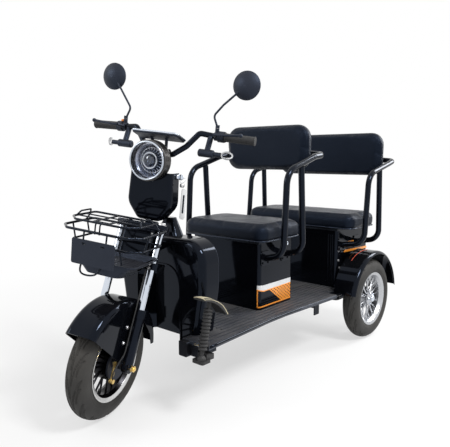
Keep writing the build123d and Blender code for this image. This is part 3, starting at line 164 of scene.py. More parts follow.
def dust_group():
    """Dust that settles on upward faces and in broken patches, as a mask."""
    group, given, mask = new_group("Dust", {"Amount": 0.2, "Scale": 9.0}, "Mask")
    geometry = add_node(group, "NewGeometry", {})
    split = add_node(group, "SeparateXYZ", {0: geometry.outputs["Normal"]})
    patches = add_node(group, "TexNoise", {"Vector": given["Vector"], "Scale": given["Scale"],
                                           "Detail": 6.0, "Roughness": 0.65})
    rise = add_node(group, "MapRange", {"Value": split.outputs["Z"], "From Min": 0.15})
    spread = add_node(group, "MapRange", {"Value": patches.outputs["Fac"],
                                          "From Min": 0.35, "From Max": 0.75})
    both = add_node(group, "Math", {0: rise.outputs["Result"], 1: spread.outputs["Result"]},
                    operation="MULTIPLY")
    amount = add_node(group, "Math", {0: both.outputs["Value"], 1: given["Amount"]},
                      operation="MULTIPLY", use_clamp=True)
    group.links.new(amount.outputs["Value"], mask)
    return group


def drift_group():
    """Slow change of tone and gloss over a surface."""
    group, given, value = new_group("Drift", {"Scale": 14.0, "Low": 0.1, "High": 0.2}, "Value")
    blotch = add_node(group, "TexNoise", {"Vector": given["Vector"], "Scale": given["Scale"],
                                          "Detail": 5.0})
    span = add_node(group, "MapRange", {"Value": blotch.outputs["Fac"], "From Min": 0.3,
                                        "From Max": 0.7, "To Min": given["Low"],
                                        "To Max": given["High"]})
    group.links.new(span.outputs["Result"], value)
    return group


DUST_COLOUR = (0.21, 0.19, 0.165)
GROUPS = {}


def shader_group(name):
    makers = {"Grain": grain_group, "Dust": dust_group, "Drift": drift_group}
    if name not in GROUPS:
        GROUPS[name] = makers[name]()
    return GROUPS[name]


def place_group(tree, name, vector, **values):
    node = tree.nodes.new("ShaderNodeGroup")
    node.node_tree = shader_group(name)
    tree.links.new(vector, node.inputs["Vector"])
    for label, value in values.items():
        node.inputs[label].default_value = value
    return node


def blank_material(name):
    """New node material with its tree, its surface shader and its place on the object."""
    material = bpy.data.materials.new(name)
    material.use_nodes = True
    tree = material.node_tree
    where = add_node(tree, "TexCoord", {}).outputs["Object"]
    return material, tree, tree.nodes["Principled BSDF"], where


def blend_colours(tree, share, first, second):
    """Colour that goes from first to second as share rises."""
    first, second = (value if isinstance(value, bpy.types.NodeSocket) else (*value, 1)
                     for value in (first, second))
    mix = add_node(tree, "Mix", {"Factor": share, "A": first, "B": second}, data_type="RGBA")
    return mix.outputs["Result"]


def finish_material(name, colour, rough, metallic=0.0, coat=0.0, grain=None, dust=0.0,
                    tint=None, sheen=0.0, specular=0.5, cool=None):
    """Surface with drifting gloss and tone, optional grain bump and dust.

    rough is (low, high); grain is (cells per metre, bump depth in metres)."""
    material, tree, shader, where = blank_material(name)
    gloss = place_group(tree, "Drift", where, Scale=14.0, Low=rough[0], High=rough[1])
    tone = place_group(tree, "Drift", where, Scale=5.18, Low=0.0, High=1.0)
    tint = tint or [min(1, c * 1.35 + 0.002) for c in colour]
    base = blend_colours(tree, tone.outputs["Value"], colour, tint)
    roughness = gloss.outputs["Value"]
    if dust:
        film = place_group(tree, "Dust", where, Amount=dust).outputs["Mask"]
        base = blend_colours(tree, film, base, DUST_COLOUR)
        duller = add_node(tree, "Math", {0: film, 1: 0.6, 2: roughness},
                          operation="MULTIPLY_ADD", use_clamp=True)
        roughness = duller.outputs["Value"]
    tree.links.new(base, shader.inputs["Base Color"])
    tree.links.new(roughness, shader.inputs["Roughness"])
    # The blue sheen tint is a painted reflection of a blue sky at grazing angles; only the vinyl
    # has sheen.
    for label, value in (("Metallic", metallic), ("Coat Weight", coat), ("Coat Roughness", 0.05),
                         ("Specular IOR Level", specular), ("Sheen Weight", sheen),
                         ("Sheen Tint", (0.55, 0.70, 1.0, 1))):
        shader.inputs[label].default_value = value
    if cool:
        shader.inputs["Specular Tint"].default_value = (*cool, 1)
    if grain:
        cells = place_group(tree, "Grain", where, Scale=grain[0])
        bump = add_node(tree, "Bump", {"Strength": 1.0, "Distance": grain[1],
                                       "Height": cells.outputs["Height"]})
        tree.links.new(bump.outputs["Normal"], shader.inputs["Normal"])
    return material


MATERIALS = {}


def glass_material(name, colour, rough):
    """Clear cover, thin enough to bend light only a little."""
    glass, tree, shader, where = blank_material(name)
    haze = place_group(tree, "Drift", where, Scale=30.0, Low=rough[0], High=rough[1])
    tree.links.new(haze.outputs["Value"], shader.inputs["Roughness"])
    for label, value in (("Base Color", (*colour, 1)), ("Transmission Weight", 1.0),
                         ("IOR", 1.04)):
        shader.inputs[label].default_value = value
    return glass


def overlay(finish, mask, first, second):
    """Mix a mask into a finish; None stands for the base colour it had before."""
    tree = finish.node_tree
    base = tree.nodes["Principled BSDF"].inputs["Base Color"]
    before = base.links[0].from_socket
    result = blend_colours(tree, mask, first or before, second or before)
    tree.links.new(result, base)
    return finish


def wheel_metal(name, inner, outer, hub, spin, radius):
    """Metal in one tone on hub and spokes and another beyond a radius from the axle."""
    metal = finish_material(name, inner, (0.20, 0.36), metallic=1.0, dust=0.05)
    tree = metal.node_tree
    where = add_node(tree, "TexCoord", {}).outputs["Object"]
    offset = add_node(tree, "VectorMath", {0: where, 1: hub}, operation="SUBTRACT")
    cross = add_node(tree, "VectorMath", {0: offset.outputs["Vector"], 1: spin},
                     operation="CROSS_PRODUCT")
    reach = add_node(tree, "VectorMath", {0: cross.outputs["Vector"]}, operation="LENGTH")
    edge = add_node(tree, "MapRange", {"Value": reach.outputs["Value"],
                                       "From Min": radius - 0.0006, "From Max": radius + 0.0006})
    return overlay(metal, edge.outputs["Result"], None, outer)


def honeycomb_material(name, accent):
    """Orange sheet with staggered dark dots."""
    sheet = finish_material(name, accent, (0.25, 0.35), dust=0.05)
    tree = sheet.node_tree
    where = add_node(tree, "TexCoord", {}).outputs["Object"]
    waves = []
    for turn in (55, -55):
        lean = add_node(tree, "Mapping", {"Vector": where, "Rotation": (0, math.radians(turn), 0)})
        wave = add_node(tree, "TexWave", {"Vector": lean.outputs["Vector"], "Scale": 24.0},
                        wave_profile="SIN", bands_direction="X")
        waves.append(wave.outputs["Fac"])
    both = add_node(tree, "Math", {0: waves[0], 1: waves[1]}, operation="MULTIPLY")
    net = add_node(tree, "MapRange", {"Value": both.outputs["Value"], "From Min": 0.40,
                                      "From Max": 0.24})
    return overlay(sheet, net.outputs["Result"], (0.02, 0.012, 0.008), None)


def make_materials():
    chosen = colours()
    paint, vinyl, accent, cool = (tuple(value) for value in (chosen.paint, chosen.vinyl,
                                                             chosen.accent, chosen.reflection))

    def make(name, colour, rough, **options):
        MATERIALS[name] = finish_material(name, colour, rough, **options)

    make("gloss_plastic", paint, (0.04, 0.10), dust=0.02, tint=(0.0024, 0.0028, 0.0045),
         specular=0.16, cool=cool, coat=0.06)
    make("tube_paint", paint, (0.10, 0.18), dust=0.02, grain=(900.0, 0.00002), specular=0.20,
         cool=cool, tint=(0.003, 0.0035, 0.0055), coat=0.06)
    make("frame_paint", (0.006, 0.006, 0.007), (0.25, 0.45), dust=0.12, grain=(500.0, 0.00006),
         specular=0.25, cool=cool)
    make("tyre_rubber", (0.018, 0.018, 0.018), (0.55, 0.78), dust=0.22, grain=(1400.0, 0.00008),
         specular=0.35, tint=(0.036, 0.034, 0.031))
    make("vinyl", vinyl, (0.30, 0.42), grain=(950.0, 0.00014), tint=(0.0038, 0.0055, 0.0098),
         sheen=0.02, dust=0.02, specular=0.17, cool=cool)
    make("piping", (0.006, 0.007, 0.011), (0.24, 0.34), specular=0.5, cool=cool,
         tint=(0.012, 0.014, 0.020))
    make("alloy", (0.42, 0.43, 0.45), (0.22, 0.38), metallic=1.0, dust=0.06, grain=(700.0, 0.00003))
    # Chrome's cool blue cast is a painted reflection of a blue sky.
    make("chrome", (0.58, 0.64, 0.74), (0.04, 0.12), metallic=1.0,
         tint=(0.70, 0.74, 0.80))
    make("zinc", (0.72, 0.52, 0.20), (0.24, 0.42), metallic=1.0, dust=0.06)
    make("matt_plastic", (0.008, 0.008, 0.010), (0.40, 0.56), grain=(1300.0, 0.00006), dust=0.05,
         specular=0.42, cool=cool)
    make("grip_rubber", (0.010, 0.010, 0.011), (0.50, 0.70), grain=(700.0, 0.00015), dust=0.04)
    make("floor_mat", (0.030, 0.031, 0.035), (0.30, 0.46), dust=0.30, grain=(800.0, 0.0002),
         tint=(0.048, 0.049, 0.054), cool=cool)
    make("bezel", (0.46, 0.50, 0.56), (0.16, 0.28), metallic=1.0)
    make("lamp_shell", (0.085, 0.082, 0.080), (0.22, 0.34), metallic=0.9,
         tint=(0.13, 0.125, 0.12))
    make("lamp_cell", (0.006, 0.007, 0.009), (0.10, 0.20), specular=0.3, cool=cool)
    make("projector_glass", (0.010, 0.020, 0.055), (0.02, 0.06), specular=0.5, coat=1.0,
         tint=(0.035, 0.040, 0.030))
    make("reflector", (0.40, 0.44, 0.56), (0.16, 0.28), metallic=0.9,
         tint=(0.54, 0.52, 0.52))
    make("cream", (0.56, 0.50, 0.34), (0.45, 0.65), dust=0.35, grain=(600.0, 0.0001),
         tint=(0.46, 0.40, 0.26))
    make("accent", accent, (0.22, 0.34), coat=0.5, dust=0.04)
    make("white_trim", (0.70, 0.71, 0.72), (0.22, 0.36), coat=0.4, dust=0.06,
         tint=(0.60, 0.61, 0.62))
    make("red_line", (0.52, 0.055, 0.018), (0.25, 0.40), coat=0.3)
    make("red_lens", (0.36, 0.008, 0.006), (0.10, 0.20), coat=1.0)
    make("bright_orange", (0.86, 0.24, 0.02), (0.30, 0.42), coat=0.3)
    make("cast_metal", (0.20, 0.20, 0.205), (0.40, 0.60), metallic=0.9, dust=0.3,
         grain=(300.0, 0.0003))
    make("mirror_glass", (0.86, 0.88, 0.90), (0.01, 0.03), metallic=1.0)
    make("bolt_steel", (0.50, 0.50, 0.51), (0.22, 0.40), metallic=1.0, dust=0.1)
    make("display_glass", (0.003, 0.004, 0.006), (0.03, 0.08), specular=0.6, cool=cool)
    MATERIALS["clear_lens"] = glass_material("clear_lens", (0.95, 0.97, 1.0), (0.0, 0.03))
    MATERIALS["front_wheel_metal"] = wheel_metal(
        "front_wheel_metal", (0.012, 0.012, 0.014), (0.66, 0.66, 0.66), FRONT_HUB, FRONT_SPIN,
        0.124)
    MATERIALS["honeycomb"] = honeycomb_material("honeycomb", accent)


CAD_FINISH = {
    "gloss_plastic": ("front_mudguard", "rear_mudguard_left", "rear_mudguard_right",
                      "leg_shield", "nose_cover", "front_seat_box", "rear_seat_box",
                      "fork_shroud"),
    "tube_paint": ("fork_legs", "fork_yokes", "handlebar", "front_arm_left", "front_arm_right",
                   "rear_arm_left", "rear_arm_right", "basket_wires", "rear_bar"),
    "frame_paint": ("frame", "rear_axle", "rear_springs", "front_seat_pan", "rear_seat_pan",
                    "battery"),
    "front_wheel_metal": ("front_rim",),
    "alloy": ("rear_rim_left", "rear_rim_right"),
    "chrome": ("fork_stanchions",),
    "zinc": ("front_axle", "brake_arm"),
    "matt_plastic": ("inner_shield", "dashboard", "switch_pods", "indicators", "mirrors",
                     "basket_tray", "basket_plate", "brake_levers", "brake_plate"),
    "grip_rubber": ("grips", "brake_cable", "brake_pedal"),
    "floor_mat": ("floor_board",),
    "reflector": ("headlight_reflector",),
    "lamp_shell": ("headlight",),
    "mirror_glass": ("mirror_glasses",),
    "clear_lens": ("headlight_lens",),
    "cast_metal": ("motor",),
    "red_lens": ("tail_lamps",),
    "vinyl": ("front_cushion", "rear_cushion", "front_backrest", "rear_backrest"),
    "tyre_rubber": ("front_tyre", "rear_tyre_left", "rear_tyre_right"),
}


# ---------------------------------------------------------------- mesh helpers
def add_object(name, data):
    """New object in the scene."""
    item = bpy.data.objects.new(name, data)
    bpy.context.scene.collection.objects.link(item)
    return item


def around(count):
    """Angles spread evenly round a full turn."""
    return [2 * math.pi * i / count for i in range(count)]


def soften(mesh, edges, offset, segments):
    """Round the given edges."""
    bmesh.ops.bevel(mesh, geom=edges, offset=offset, segments=segments, profile=0.5,
                    affect="EDGES", material=-1)


def raised_verts(grown):
    """Vertices that an extrusion has added."""
    return [item for item in grown["geom"] if isinstance(item, bmesh.types.BMVert)]


def new_piece(name, mesh, body, finish, smooth=True):
    """Turn a bmesh into an object that rides on a body; returns the object."""
    data = bpy.data.meshes.new(name)
    bmesh.ops.recalc_face_normals(mesh, faces=mesh.faces)
    mesh.to_mesh(data)
    mesh.free()
    piece = add_object(name, data)
    data.materials.append(MATERIALS[finish])
    for face in data.polygons:
        face.use_smooth = smooth
    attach(piece, body)
    return piece


def stand_at(origin, axis):
    """Matrix that carries local Z onto axis, with its foot at origin."""
    return Matrix.Translation(origin) @ Vector(axis).to_track_quat("Z", "Y").to_matrix().to_4x4()


def lathe(profile, origin, axis, steps=48):
    """Turn a closed (radius, along) outline round the axis that starts at origin."""
    mesh = bmesh.new()
    verts = [mesh.verts.new((radius, 0, along)) for radius, along in profile]
    edges = [mesh.edges.new((a, b)) for a, b in zip(verts, verts[1:] + verts[:1])]
    bmesh.ops.spin(mesh, geom=verts + edges, cent=(0, 0, 0), axis=(0, 0, 1),
                   angle=2 * math.pi, steps=steps, use_merge=True)
    bmesh.ops.remove_doubles(mesh, verts=mesh.verts, dist=1e-6)
    bmesh.ops.transform(mesh, matrix=stand_at(origin, axis), verts=mesh.verts)
    return mesh


def ring_outline(radius, along, thick, count=10):
    """Round section of a ring, for the lathe."""
    return [(radius + thick * math.cos(turn), along + thick * math.sin(turn))
            for turn in around(count)]


def sheet_of(points, depth, edge=0.0003):
    """Flat outline given thickness, with its rim softened."""
    mesh = bmesh.new()
    face = mesh.faces.new([mesh.verts.new(point) for point in points])
    grown = bmesh.ops.extrude_face_region(mesh, geom=[face])
    bmesh.ops.translate(mesh, vec=depth, verts=raised_verts(grown))
    bmesh.ops.recalc_face_normals(mesh, faces=mesh.faces)
    if edge:
        rim = [e for e in mesh.edges if e.calc_face_angle(0) > 0.6]
        soften(mesh, rim, edge, 2)
    return mesh


def tube_along(points, radius, closed=False):
    """Round tube on a smooth line through control points, as a mesh."""
    curve = bpy.data.curves.new("line", "CURVE")
    curve.dimensions = "3D"
    curve.bevel_depth = radius
    curve.bevel_resolution = 3
    curve.use_fill_caps = not closed
    line = curve.splines.new("NURBS")
    line.points.add(len(points) - 1)
    for spot, point in zip(line.points, points):
        spot.co = (*point, 1)
    line.order_u = 3
    line.use_endpoint_u = not closed
    line.use_cyclic_u = closed
    line.resolution_u = 8
    holder = add_object("line", curve)
    graph = bpy.context.evaluated_depsgraph_get()
    graph.update()
    data = bpy.data.meshes.new_from_object(holder.evaluated_get(graph))
    mesh = bmesh.new()
    mesh.from_mesh(data)
    bpy.data.objects.remove(holder)
    bpy.data.curves.remove(curve)
    bpy.data.meshes.remove(data)
    bmesh.ops.remove_doubles(mesh, verts=mesh.verts, dist=1e-6)
    return mesh


def merged(meshes):
    """One bmesh that holds all the given ones."""
    whole = bmesh.new()
    for mesh in meshes:
        data = bpy.data.meshes.new("part")
        mesh.to_mesh(data)
        mesh.free()
        whole.from_mesh(data)
        bpy.data.meshes.remove(data)
    return whole


def moved_by(mesh, matrix):
    bmesh.ops.transform(mesh, matrix=matrix, verts=mesh.verts)
    return mesh


def rounded_loop(u, v, corner, steps=5):
    """Corners of a rounded rectangle of half sizes u and v, as (u, v) pairs."""
    points = []
    for cu, cv, start in ((u, v, 0), (-u, v, 90), (-u, -v, 180), (u, -v, 270)):
        for i in range(steps + 1):
            angle = math.radians(start + 90 * i / steps)
            points.append((cu - math.copysign(corner, cu) + corner * math.cos(angle),
                           cv - math.copysign(corner, cv) + corner * math.sin(angle)))
    return points


def bolt_head(origin, axis, flats):
    """Hex head on a washer."""
    mesh = bmesh.new()
    radius = flats / math.sqrt(3)
    bmesh.ops.create_cone(mesh, cap_ends=True, segments=6, radius1=radius, radius2=radius,
                          depth=flats * 0.5)
    rim = [e for e in mesh.edges if e.verts[0].co.z > 0 and e.verts[1].co.z > 0]
    soften(mesh, rim, flats * 0.08, 2)
    bmesh.ops.translate(mesh, vec=(0, 0, flats * 0.38), verts=mesh.verts)
    washer = bmesh.new()
    bmesh.ops.create_cone(washer, cap_ends=True, segments=24, radius1=flats, radius2=flats,
                          depth=flats * 0.16)
    bmesh.ops.translate(washer, vec=(0, 0, flats * 0.08), verts=washer.verts)
    return moved_by(merged([mesh, washer]), stand_at(origin, axis))


def bolts(name, body, places, finish="bolt_steel"):
    """A set of like bolts on one body; places are (origin, axis, scale)."""
    flats = sizes().bolt_size
    heads = [bolt_head(Vector(origin), axis, flats * scale) for origin, axis, scale in places]
    return new_piece(name, merged(heads), body, finish, smooth=False)


# ---------------------------------------------------------------- operators
class TRIKE_OT_finish_frame(bpy.types.Operator):
    """Give every carried-over part of the frame its material"""
    bl_idname = "trike.finish_frame"
    bl_label = "Finish Frame Parts"

    def execute(self, context):
        make_materials()
        for finish, names in CAD_FINISH.items():
            for name in names:
                if name in NODES:
                    data = NODES[name].data
                    data.materials.clear()
                    data.materials.append(MATERIALS[finish])
        return {"FINISHED"}


# ---------------------------------------------------------------- tyres
TREAD_PITCHES = 13
BEAD_ANGLE = math.radians(144)
SECTION_STEPS, TURN_STEPS = 100, 440
TREAD_HALF_WIDTH = 0.034
GROOVE_HALF_WIDTH, GROOVE_FLANK = 0.0037, 0.0014
CENTRE_GROOVE_HALF_WIDTH, CENTRE_GROOVE_FLANK = 0.0018, 0.0010
SIDEWALL_RING, RING_HALF_ANGLE, RING_LIFT = 1.75, 0.035, 0.0012
# each groove on a pitch: share of the pitch at its ends, share of the half tread at its ends
GROOVES = ((0.00, 1.10, 0.12, 0.95), (0.30, 0.86, 0.52, 1.00), (0.62, 1.16, 0.66, 1.08))


def tyre_section():
    """(outer radius, section centre radius, section radius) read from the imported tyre."""
    low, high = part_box("rear_tyre_left")
    outer = (high.z - low.z) / 2
    section = (high.y - low.y) / 2
    return outer, outer - section, section


def groove_distance(along, across, pitch):
    """Distance to the nearest tread groove, on the unrolled half tread."""
    nearest = 1.0
    for sweep_start, sweep_end, reach_start, reach_end in GROOVES:
        for step in range(15):
            t = step / 14
            s = (sweep_start + (sweep_end - sweep_start) * t) * pitch
            w = (reach_start + (reach_end - reach_start) * t * t) * TREAD_HALF_WIDTH
            for shift in (-pitch, 0, pitch):
                gap = math.hypot(along - s - shift, across - w)
                nearest = min(nearest, gap)
    return nearest


def clamped(value):
    return max(0.0, min(1.0, value))


def spread_section(vert, reach, major, scale):
    """Scale a tyre vertex about the centre of its section."""
    radial = (reach - major) * scale + major
    vert.co = (vert.co.x * radial / reach, vert.co.y * scale, vert.co.z * radial / reach)


def tyre_body(depth):
    """Closed tyre about the Y axis, with swept grooves pressed into its tread."""
    outer, major, section = tyre_section()
    mesh = bmesh.new()
    loop = []
    for i in range(SECTION_STEPS + 1):
        angle = BEAD_ANGLE * (2 * i / SECTION_STEPS - 1)
        place = (major + section * math.cos(angle), section * math.sin(angle), 0)
        loop.append(mesh.verts.new(place))
    edges = [mesh.edges.new((a, b)) for a, b in zip(loop, loop[1:] + loop[:1])]
    bmesh.ops.spin(mesh, geom=loop + edges, cent=(0, 0, 0), axis=(0, 1, 0),
                   angle=2 * math.pi, steps=TURN_STEPS, use_merge=True)
    pitch_angle = 2 * math.pi / TREAD_PITCHES
    pitch = pitch_angle * outer
    known = {}
    for vert in mesh.verts:
        reach = math.hypot(vert.co.x, vert.co.z)
        lift = math.atan2(vert.co.y, reach - major)
        if abs(lift) > 1.0:
            if abs(abs(lift) - SIDEWALL_RING) < RING_HALF_ANGLE:
                spread_section(vert, reach, major, 1 + RING_LIFT / section)
            continue
        side = 0 if vert.co.y >= 0 else 1
        turn = (math.atan2(vert.co.z, vert.co.x) + side * pitch_angle / 2) % pitch_angle
        key = (side, round(turn, 5), round(abs(lift), 4))
        if key not in known:
            known[key] = groove_distance(turn * outer, abs(lift) * section, pitch)
        press = clamped((GROOVE_HALF_WIDTH - known[key]) / GROOVE_FLANK) * depth
        middle = clamped((CENTRE_GROOVE_HALF_WIDTH - abs(vert.co.y)) / CENTRE_GROOVE_FLANK)
        press = max(press, depth * middle * 0.8)
        spread_section(vert, reach, major, 1 - press / section)
    return mesh


class TRIKE_OT_tyres(bpy.types.Operator):
    """Build the three grooved tyres"""
    bl_idname = "trike.tyres"
    bl_label = "Tyres"

    def execute(self, context):
        depth = sizes().tread_depth
        turned = Matrix.Rotation(STEER_TURN, 4, STEER_AXIS)
        rest = tyre_body(depth)
        for node, body, joint in (("front_tyre", "front_wheel", "front_wheel_spin"),
                                  ("rear_tyre_left", "rear_wheel_left", "rear_wheel_left_spin"),
                                  ("rear_tyre_right", "rear_wheel_right", "rear_wheel_right_spin")):
            mesh = rest.copy()
            place = Matrix.Translation(joint_place(joint)[0])
            if node == "front_tyre":
                place = place @ turned
            bmesh.ops.transform(mesh, matrix=place, verts=mesh.verts)
            piece = new_piece(node + "_tread", mesh, body, "tyre_rubber")
            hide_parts(node)
        rest.free()
        return {"FINISHED"}


# ---------------------------------------------------------------- seats
# corner radius, rim radius and the axis across the thickness
SEAT_PAD = (0.046, 0.026, 2)
BACK_PAD = (0.066, 0.020, 0)
PAD_VOXEL = 0.006
CLOTH_FRAMES = 20


def cushion_blank(low, high, corner, roll, thin):
    """Rounded slab between two corners; thin names the axis across its thickness."""
    mesh = bmesh.new()
    bmesh.ops.create_cube(mesh, size=1)
    size = high - low
    bmesh.ops.scale(mesh, vec=size, verts=mesh.verts)
    upright = [e for e in mesh.edges
               if abs((e.verts[0].co - e.verts[1].co)[thin]) > 0.5 * size[thin]]
    soften(mesh, upright, corner, 6)
    rim = [e for e in mesh.edges if len(e.link_faces) == 2
           and e.calc_face_angle(0) > 1.2
           and abs((e.verts[0].co - e.verts[1].co)[thin]) < 0.001]
    soften(mesh, rim, roll, 4)
    bmesh.ops.translate(mesh, vec=(low + high) / 2, verts=mesh.verts)
    return mesh


def puff(piece, cap, flat, thin, pull_in=0.0015):
    """Swell a pad with cloth pressure, holding each point within cap of where it began.

    flat tells which rest positions lie against something and stay where they are; the
    pad's outline is drawn in by no more than pull_in."""
    scene = bpy.context.scene
    remesh = piece.modifiers.new("even", "REMESH")
    remesh.mode = "VOXEL"
    remesh.voxel_size = PAD_VOXEL
    apply_modifiers(piece)
    start = [vert.co.copy() for vert in piece.data.vertices]
    cloth = piece.modifiers.new("stuffing", "CLOTH")
    cloth.settings.use_pressure = True
    cloth.settings.uniform_pressure_force = 4.0
    cloth.settings.effector_weights.gravity = 0.0
    cloth.settings.tension_stiffness = 25.0
    cloth.settings.bending_stiffness = 1.5
    cloth.point_cache.frame_start = 1
    cloth.point_cache.frame_end = CLOTH_FRAMES
    for frame_number in range(1, CLOTH_FRAMES + 1):
        scene.frame_set(frame_number)
    apply_modifiers(piece)
    scene.frame_set(1)
    middle = sum(start, Vector()) / len(start)
    for vert, was in zip(piece.data.vertices, start):
        move = vert.co - was
        for axis in (axis for axis in range(3) if axis != thin):
            outward = 1 if was[axis] > middle[axis] else -1
            if move[axis] * outward < -pull_in:
                move[axis] = -pull_in * outward
        if flat(was):
            move *= 0.0
        if move.length > cap:
            move *= cap / move.length
        vert.co = was + move


def apply_modifiers(piece):
    graph = bpy.context.evaluated_depsgraph_get()
    graph.update()
    data = bpy.data.meshes.new_from_object(piece.evaluated_get(graph))
    piece.modifiers.clear()
    old = piece.data
    piece.data = data
    bpy.data.meshes.remove(old)


def cushion(node, body, corner, roll, thin):
    """Padded piece that stands for a seat or back cushion."""
    low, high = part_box(node)
    crown = sizes().cushion_crown
    inner_low, inner_high = low.copy(), high.copy()
    for axis in range(3):
        inner_low[axis] += crown * 0.30
        inner_high[axis] -= crown * 0.30
    inner_low[thin] = low[thin]
    mesh = cushion_blank(inner_low, inner_high, corner, roll, thin)
    piece = new_piece(node + "_cover", mesh, body, "vinyl")
    piece.parent = None
    puff(piece, crown, lambda was: abs(was[thin] - low[thin]) < 0.004, thin)
    piece.data.materials.clear()
    piece.data.materials.append(MATERIALS["vinyl"])
    for face in piece.data.polygons:
        face.use_smooth = True
    smoother = piece.modifiers.new("soften", "SUBSURF")
    smoother.levels = smoother.render_levels = 1
    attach(piece, body)
    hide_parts(node)


class TRIKE_OT_seats(bpy.types.Operator):
    """Build the two seat cushions and the two backrests"""
    bl_idname = "trike.seats"
    bl_label = "Seats"

    def execute(self, context):
        for name in ("front", "rear"):
            cushion(name + "_cushion", name + "_seat", *SEAT_PAD)
            cushion(name + "_backrest", "chassis", *BACK_PAD)
            cushion_welt(name + "_cushion", name + "_seat")
        return {"FINISHED"}


def cushion_welt(node, body):
    """Welt sewn round the edge of a seat cushion, where its side meets its underside."""
    low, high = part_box(node)
    middle, half = (low + high) / 2, (high - low) / 2
    points = [(middle.x + u, middle.y + v, low.z + 0.007)
              for u, v in rounded_loop(half.x - 0.0042, half.y - 0.0042, SEAT_PAD[0])]
    new_piece(node + "_welt", tube_along(points, sizes().piping_radius, closed=True), body,
              "piping")


# ---------------------------------------------------------------- lamp and controls
def from_head(back, y, z):
    """Point that far behind the steering joint, with the handlebar straight ahead."""
    return Vector((STEER_POINT.x - back, y, z))


LAMP_FRONT = from_head(0.242, 0, 0.935)
LAMP_STEPS = 96
DASH_MIDDLE = from_head(0.322, 0, 1.033)
DASH_SLOPE = Vector((0.080, 0, 0.026)).normalized()
DASH_HALF = (0.042, 0.097)
GRIP_ROOT, GRIP_TIP = from_head(0.400, 0.190, 1.047), from_head(0.414, 0.351, 1.043)
LOCK = from_head(0.322, 0.092, 0.882)
# where the steering joint stands along X in the basket loop's route
ROUTE_HEAD = 0.806
FORWARD = Vector((1, 0, 0))
LEFT = Vector((0, 1, 0))
UP = Vector((0, 0, 1))


def flip(point, side):
    return Vector((point[0], side * point[1], point[2]))


def steering_piece(name, mesh, finish, smooth=True):
    """Piece modelled straight ahead, turned with the handlebar as parked."""
    return new_piece(name, moved_by(mesh, STEERED), "steering", finish, smooth)


class TRIKE_OT_headlamp(bpy.types.Operator):
    """Add the lamp's rim, light rings, well, fins and projector glass"""
    bl_idname = "trike.headlamp"
    bl_label = "Headlamp"

    def execute(self, context):
        rim = [(0.0664, 0.0002), (0.0668, 0.0014), (0.0700, 0.0022), (0.0724, 0.0012),
               (0.0728, -0.0074), (0.0713, -0.0074), (0.0713, 0.0002)]
        steering_piece("lamp_rim", lathe(rim, LAMP_FRONT, FORWARD, LAMP_STEPS), "bezel")
        rings = [lathe(ring_outline(0.0478, -0.0425, 0.0018), LAMP_FRONT, FORWARD, LAMP_STEPS),
                 lathe(ring_outline(0.0292, -0.0255, 0.0022), LAMP_FRONT, FORWARD, LAMP_STEPS)]
        steering_piece("lamp_light_rings", merged(rings), "white_trim")
        well = [(0.0305, -0.0290), (0.0460, -0.0432), (0.0460, -0.0424), (0.0305, -0.0282)]
        steering_piece("lamp_well", lathe(well, LAMP_FRONT, FORWARD, LAMP_STEPS), "lamp_cell")
        fins = []
        for turn in around(24):
            out = Vector((0, math.cos(turn), math.sin(turn)))
            near = LAMP_FRONT + out * 0.0305 - FORWARD * 0.0270
            far = LAMP_FRONT + out * 0.0460 - FORWARD * 0.0410
            fins.append(tube_along([near, (near + far) / 2, far], 0.0010))
        steering_piece("lamp_fins", merged(fins), "bezel")
        eye = [(0.0, 0.0), (0.0240, 0.0), (0.0242, 0.0018), (0.0225, 0.0058), (0.0180, 0.0094),
               (0.0115, 0.0118), (0.0050, 0.0128), (0.0, 0.0130)]
        place = LAMP_FRONT - FORWARD * 0.0276
        steering_piece("lamp_projector", lathe(eye, place, FORWARD, 64), "projector_glass")
        return {"FINISHED"}


def dash_point(u, v, lift):
    normal = Vector((-DASH_SLOPE.z, 0, DASH_SLOPE.x))
    return DASH_MIDDLE + DASH_SLOPE * u + LEFT * v + normal * lift


def lock_and_key():
    """Ignition lock in the nose with its key, and a long tag on a ring."""
    lock = lathe([(0.0, -0.006), (0.0105, -0.006), (0.0105, 0.006), (0.0085, 0.0085),
                  (0.0, 0.0085)], LOCK, LEFT, 32)
    blade = [LOCK + Vector((x, 0.008, z)) for x, z in
             ((-0.0012, -0.004), (0.0012, -0.004), (0.0012, 0.004), (-0.0012, 0.004))]
    head = [LOCK + Vector((-0.0014, 0.016 + 0.011 * math.cos(a), 0.011 * math.sin(a)))
            for a in around(20)]
    key = merged([lock, sheet_of(blade, LEFT * 0.008, 0), sheet_of(head, FORWARD * 0.0028)])
    steering_piece("ignition_key", key, "chrome")
    eye = LOCK + Vector((0, 0.024, -0.010))
    steering_piece("key_ring", lathe(ring_outline(0.0105, 0.0, 0.0008), eye, (0.9, 0.1, 0.45)),
                   "chrome")
    clasp = lathe([(0.0, -0.006), (0.0075, -0.006), (0.0082, 0.0), (0.0075, 0.006),
                   (0.0, 0.006)], eye - UP * 0.020, LEFT, 24)
    steering_piece("key_clasp", clasp, "bolt_steel")
    middle = eye + Vector((-0.012, 0.004, -0.092))
    side_on = Vector((-0.64, 0.77, 0)).normalized()
    for name, half, long, lift, finish in (("key_tag", 0.0100, 0.060, 0.0022, "white_trim"),
                                           ("key_tag_slot", 0.0034, 0.036, 0.0026, "lamp_cell")):
        face = side_on.cross(UP).normalized()
        tag = [middle - face * lift + side_on * u + UP * v
               for u, v in rounded_loop(half, long, half * 0.95)]
        steering_piece(name, sheet_of(tag, face * 2 * lift, 0.0006), finish)


def signal_rings():
    """Pale oval rings at the ends of the turn signals."""
    lean = math.radians(40)
    for side, name in ((1, "left"), (-1, "right")):
        centre = Vector((STEER_POINT.x - 0.372 - 0.025 * math.sin(lean),
                         side * (0.240 + 0.025 * math.cos(lean)), 0.980))
        across = Vector((-math.sin(lean), side * math.cos(lean), 0))
        oval = [centre + across * 0.0220 * math.cos(a) + UP * 0.0128 * math.sin(a)
                for a in around(24)]
        steering_piece("signal_ring_" + name, tube_along(oval, 0.0040, closed=True),
                       "white_trim")


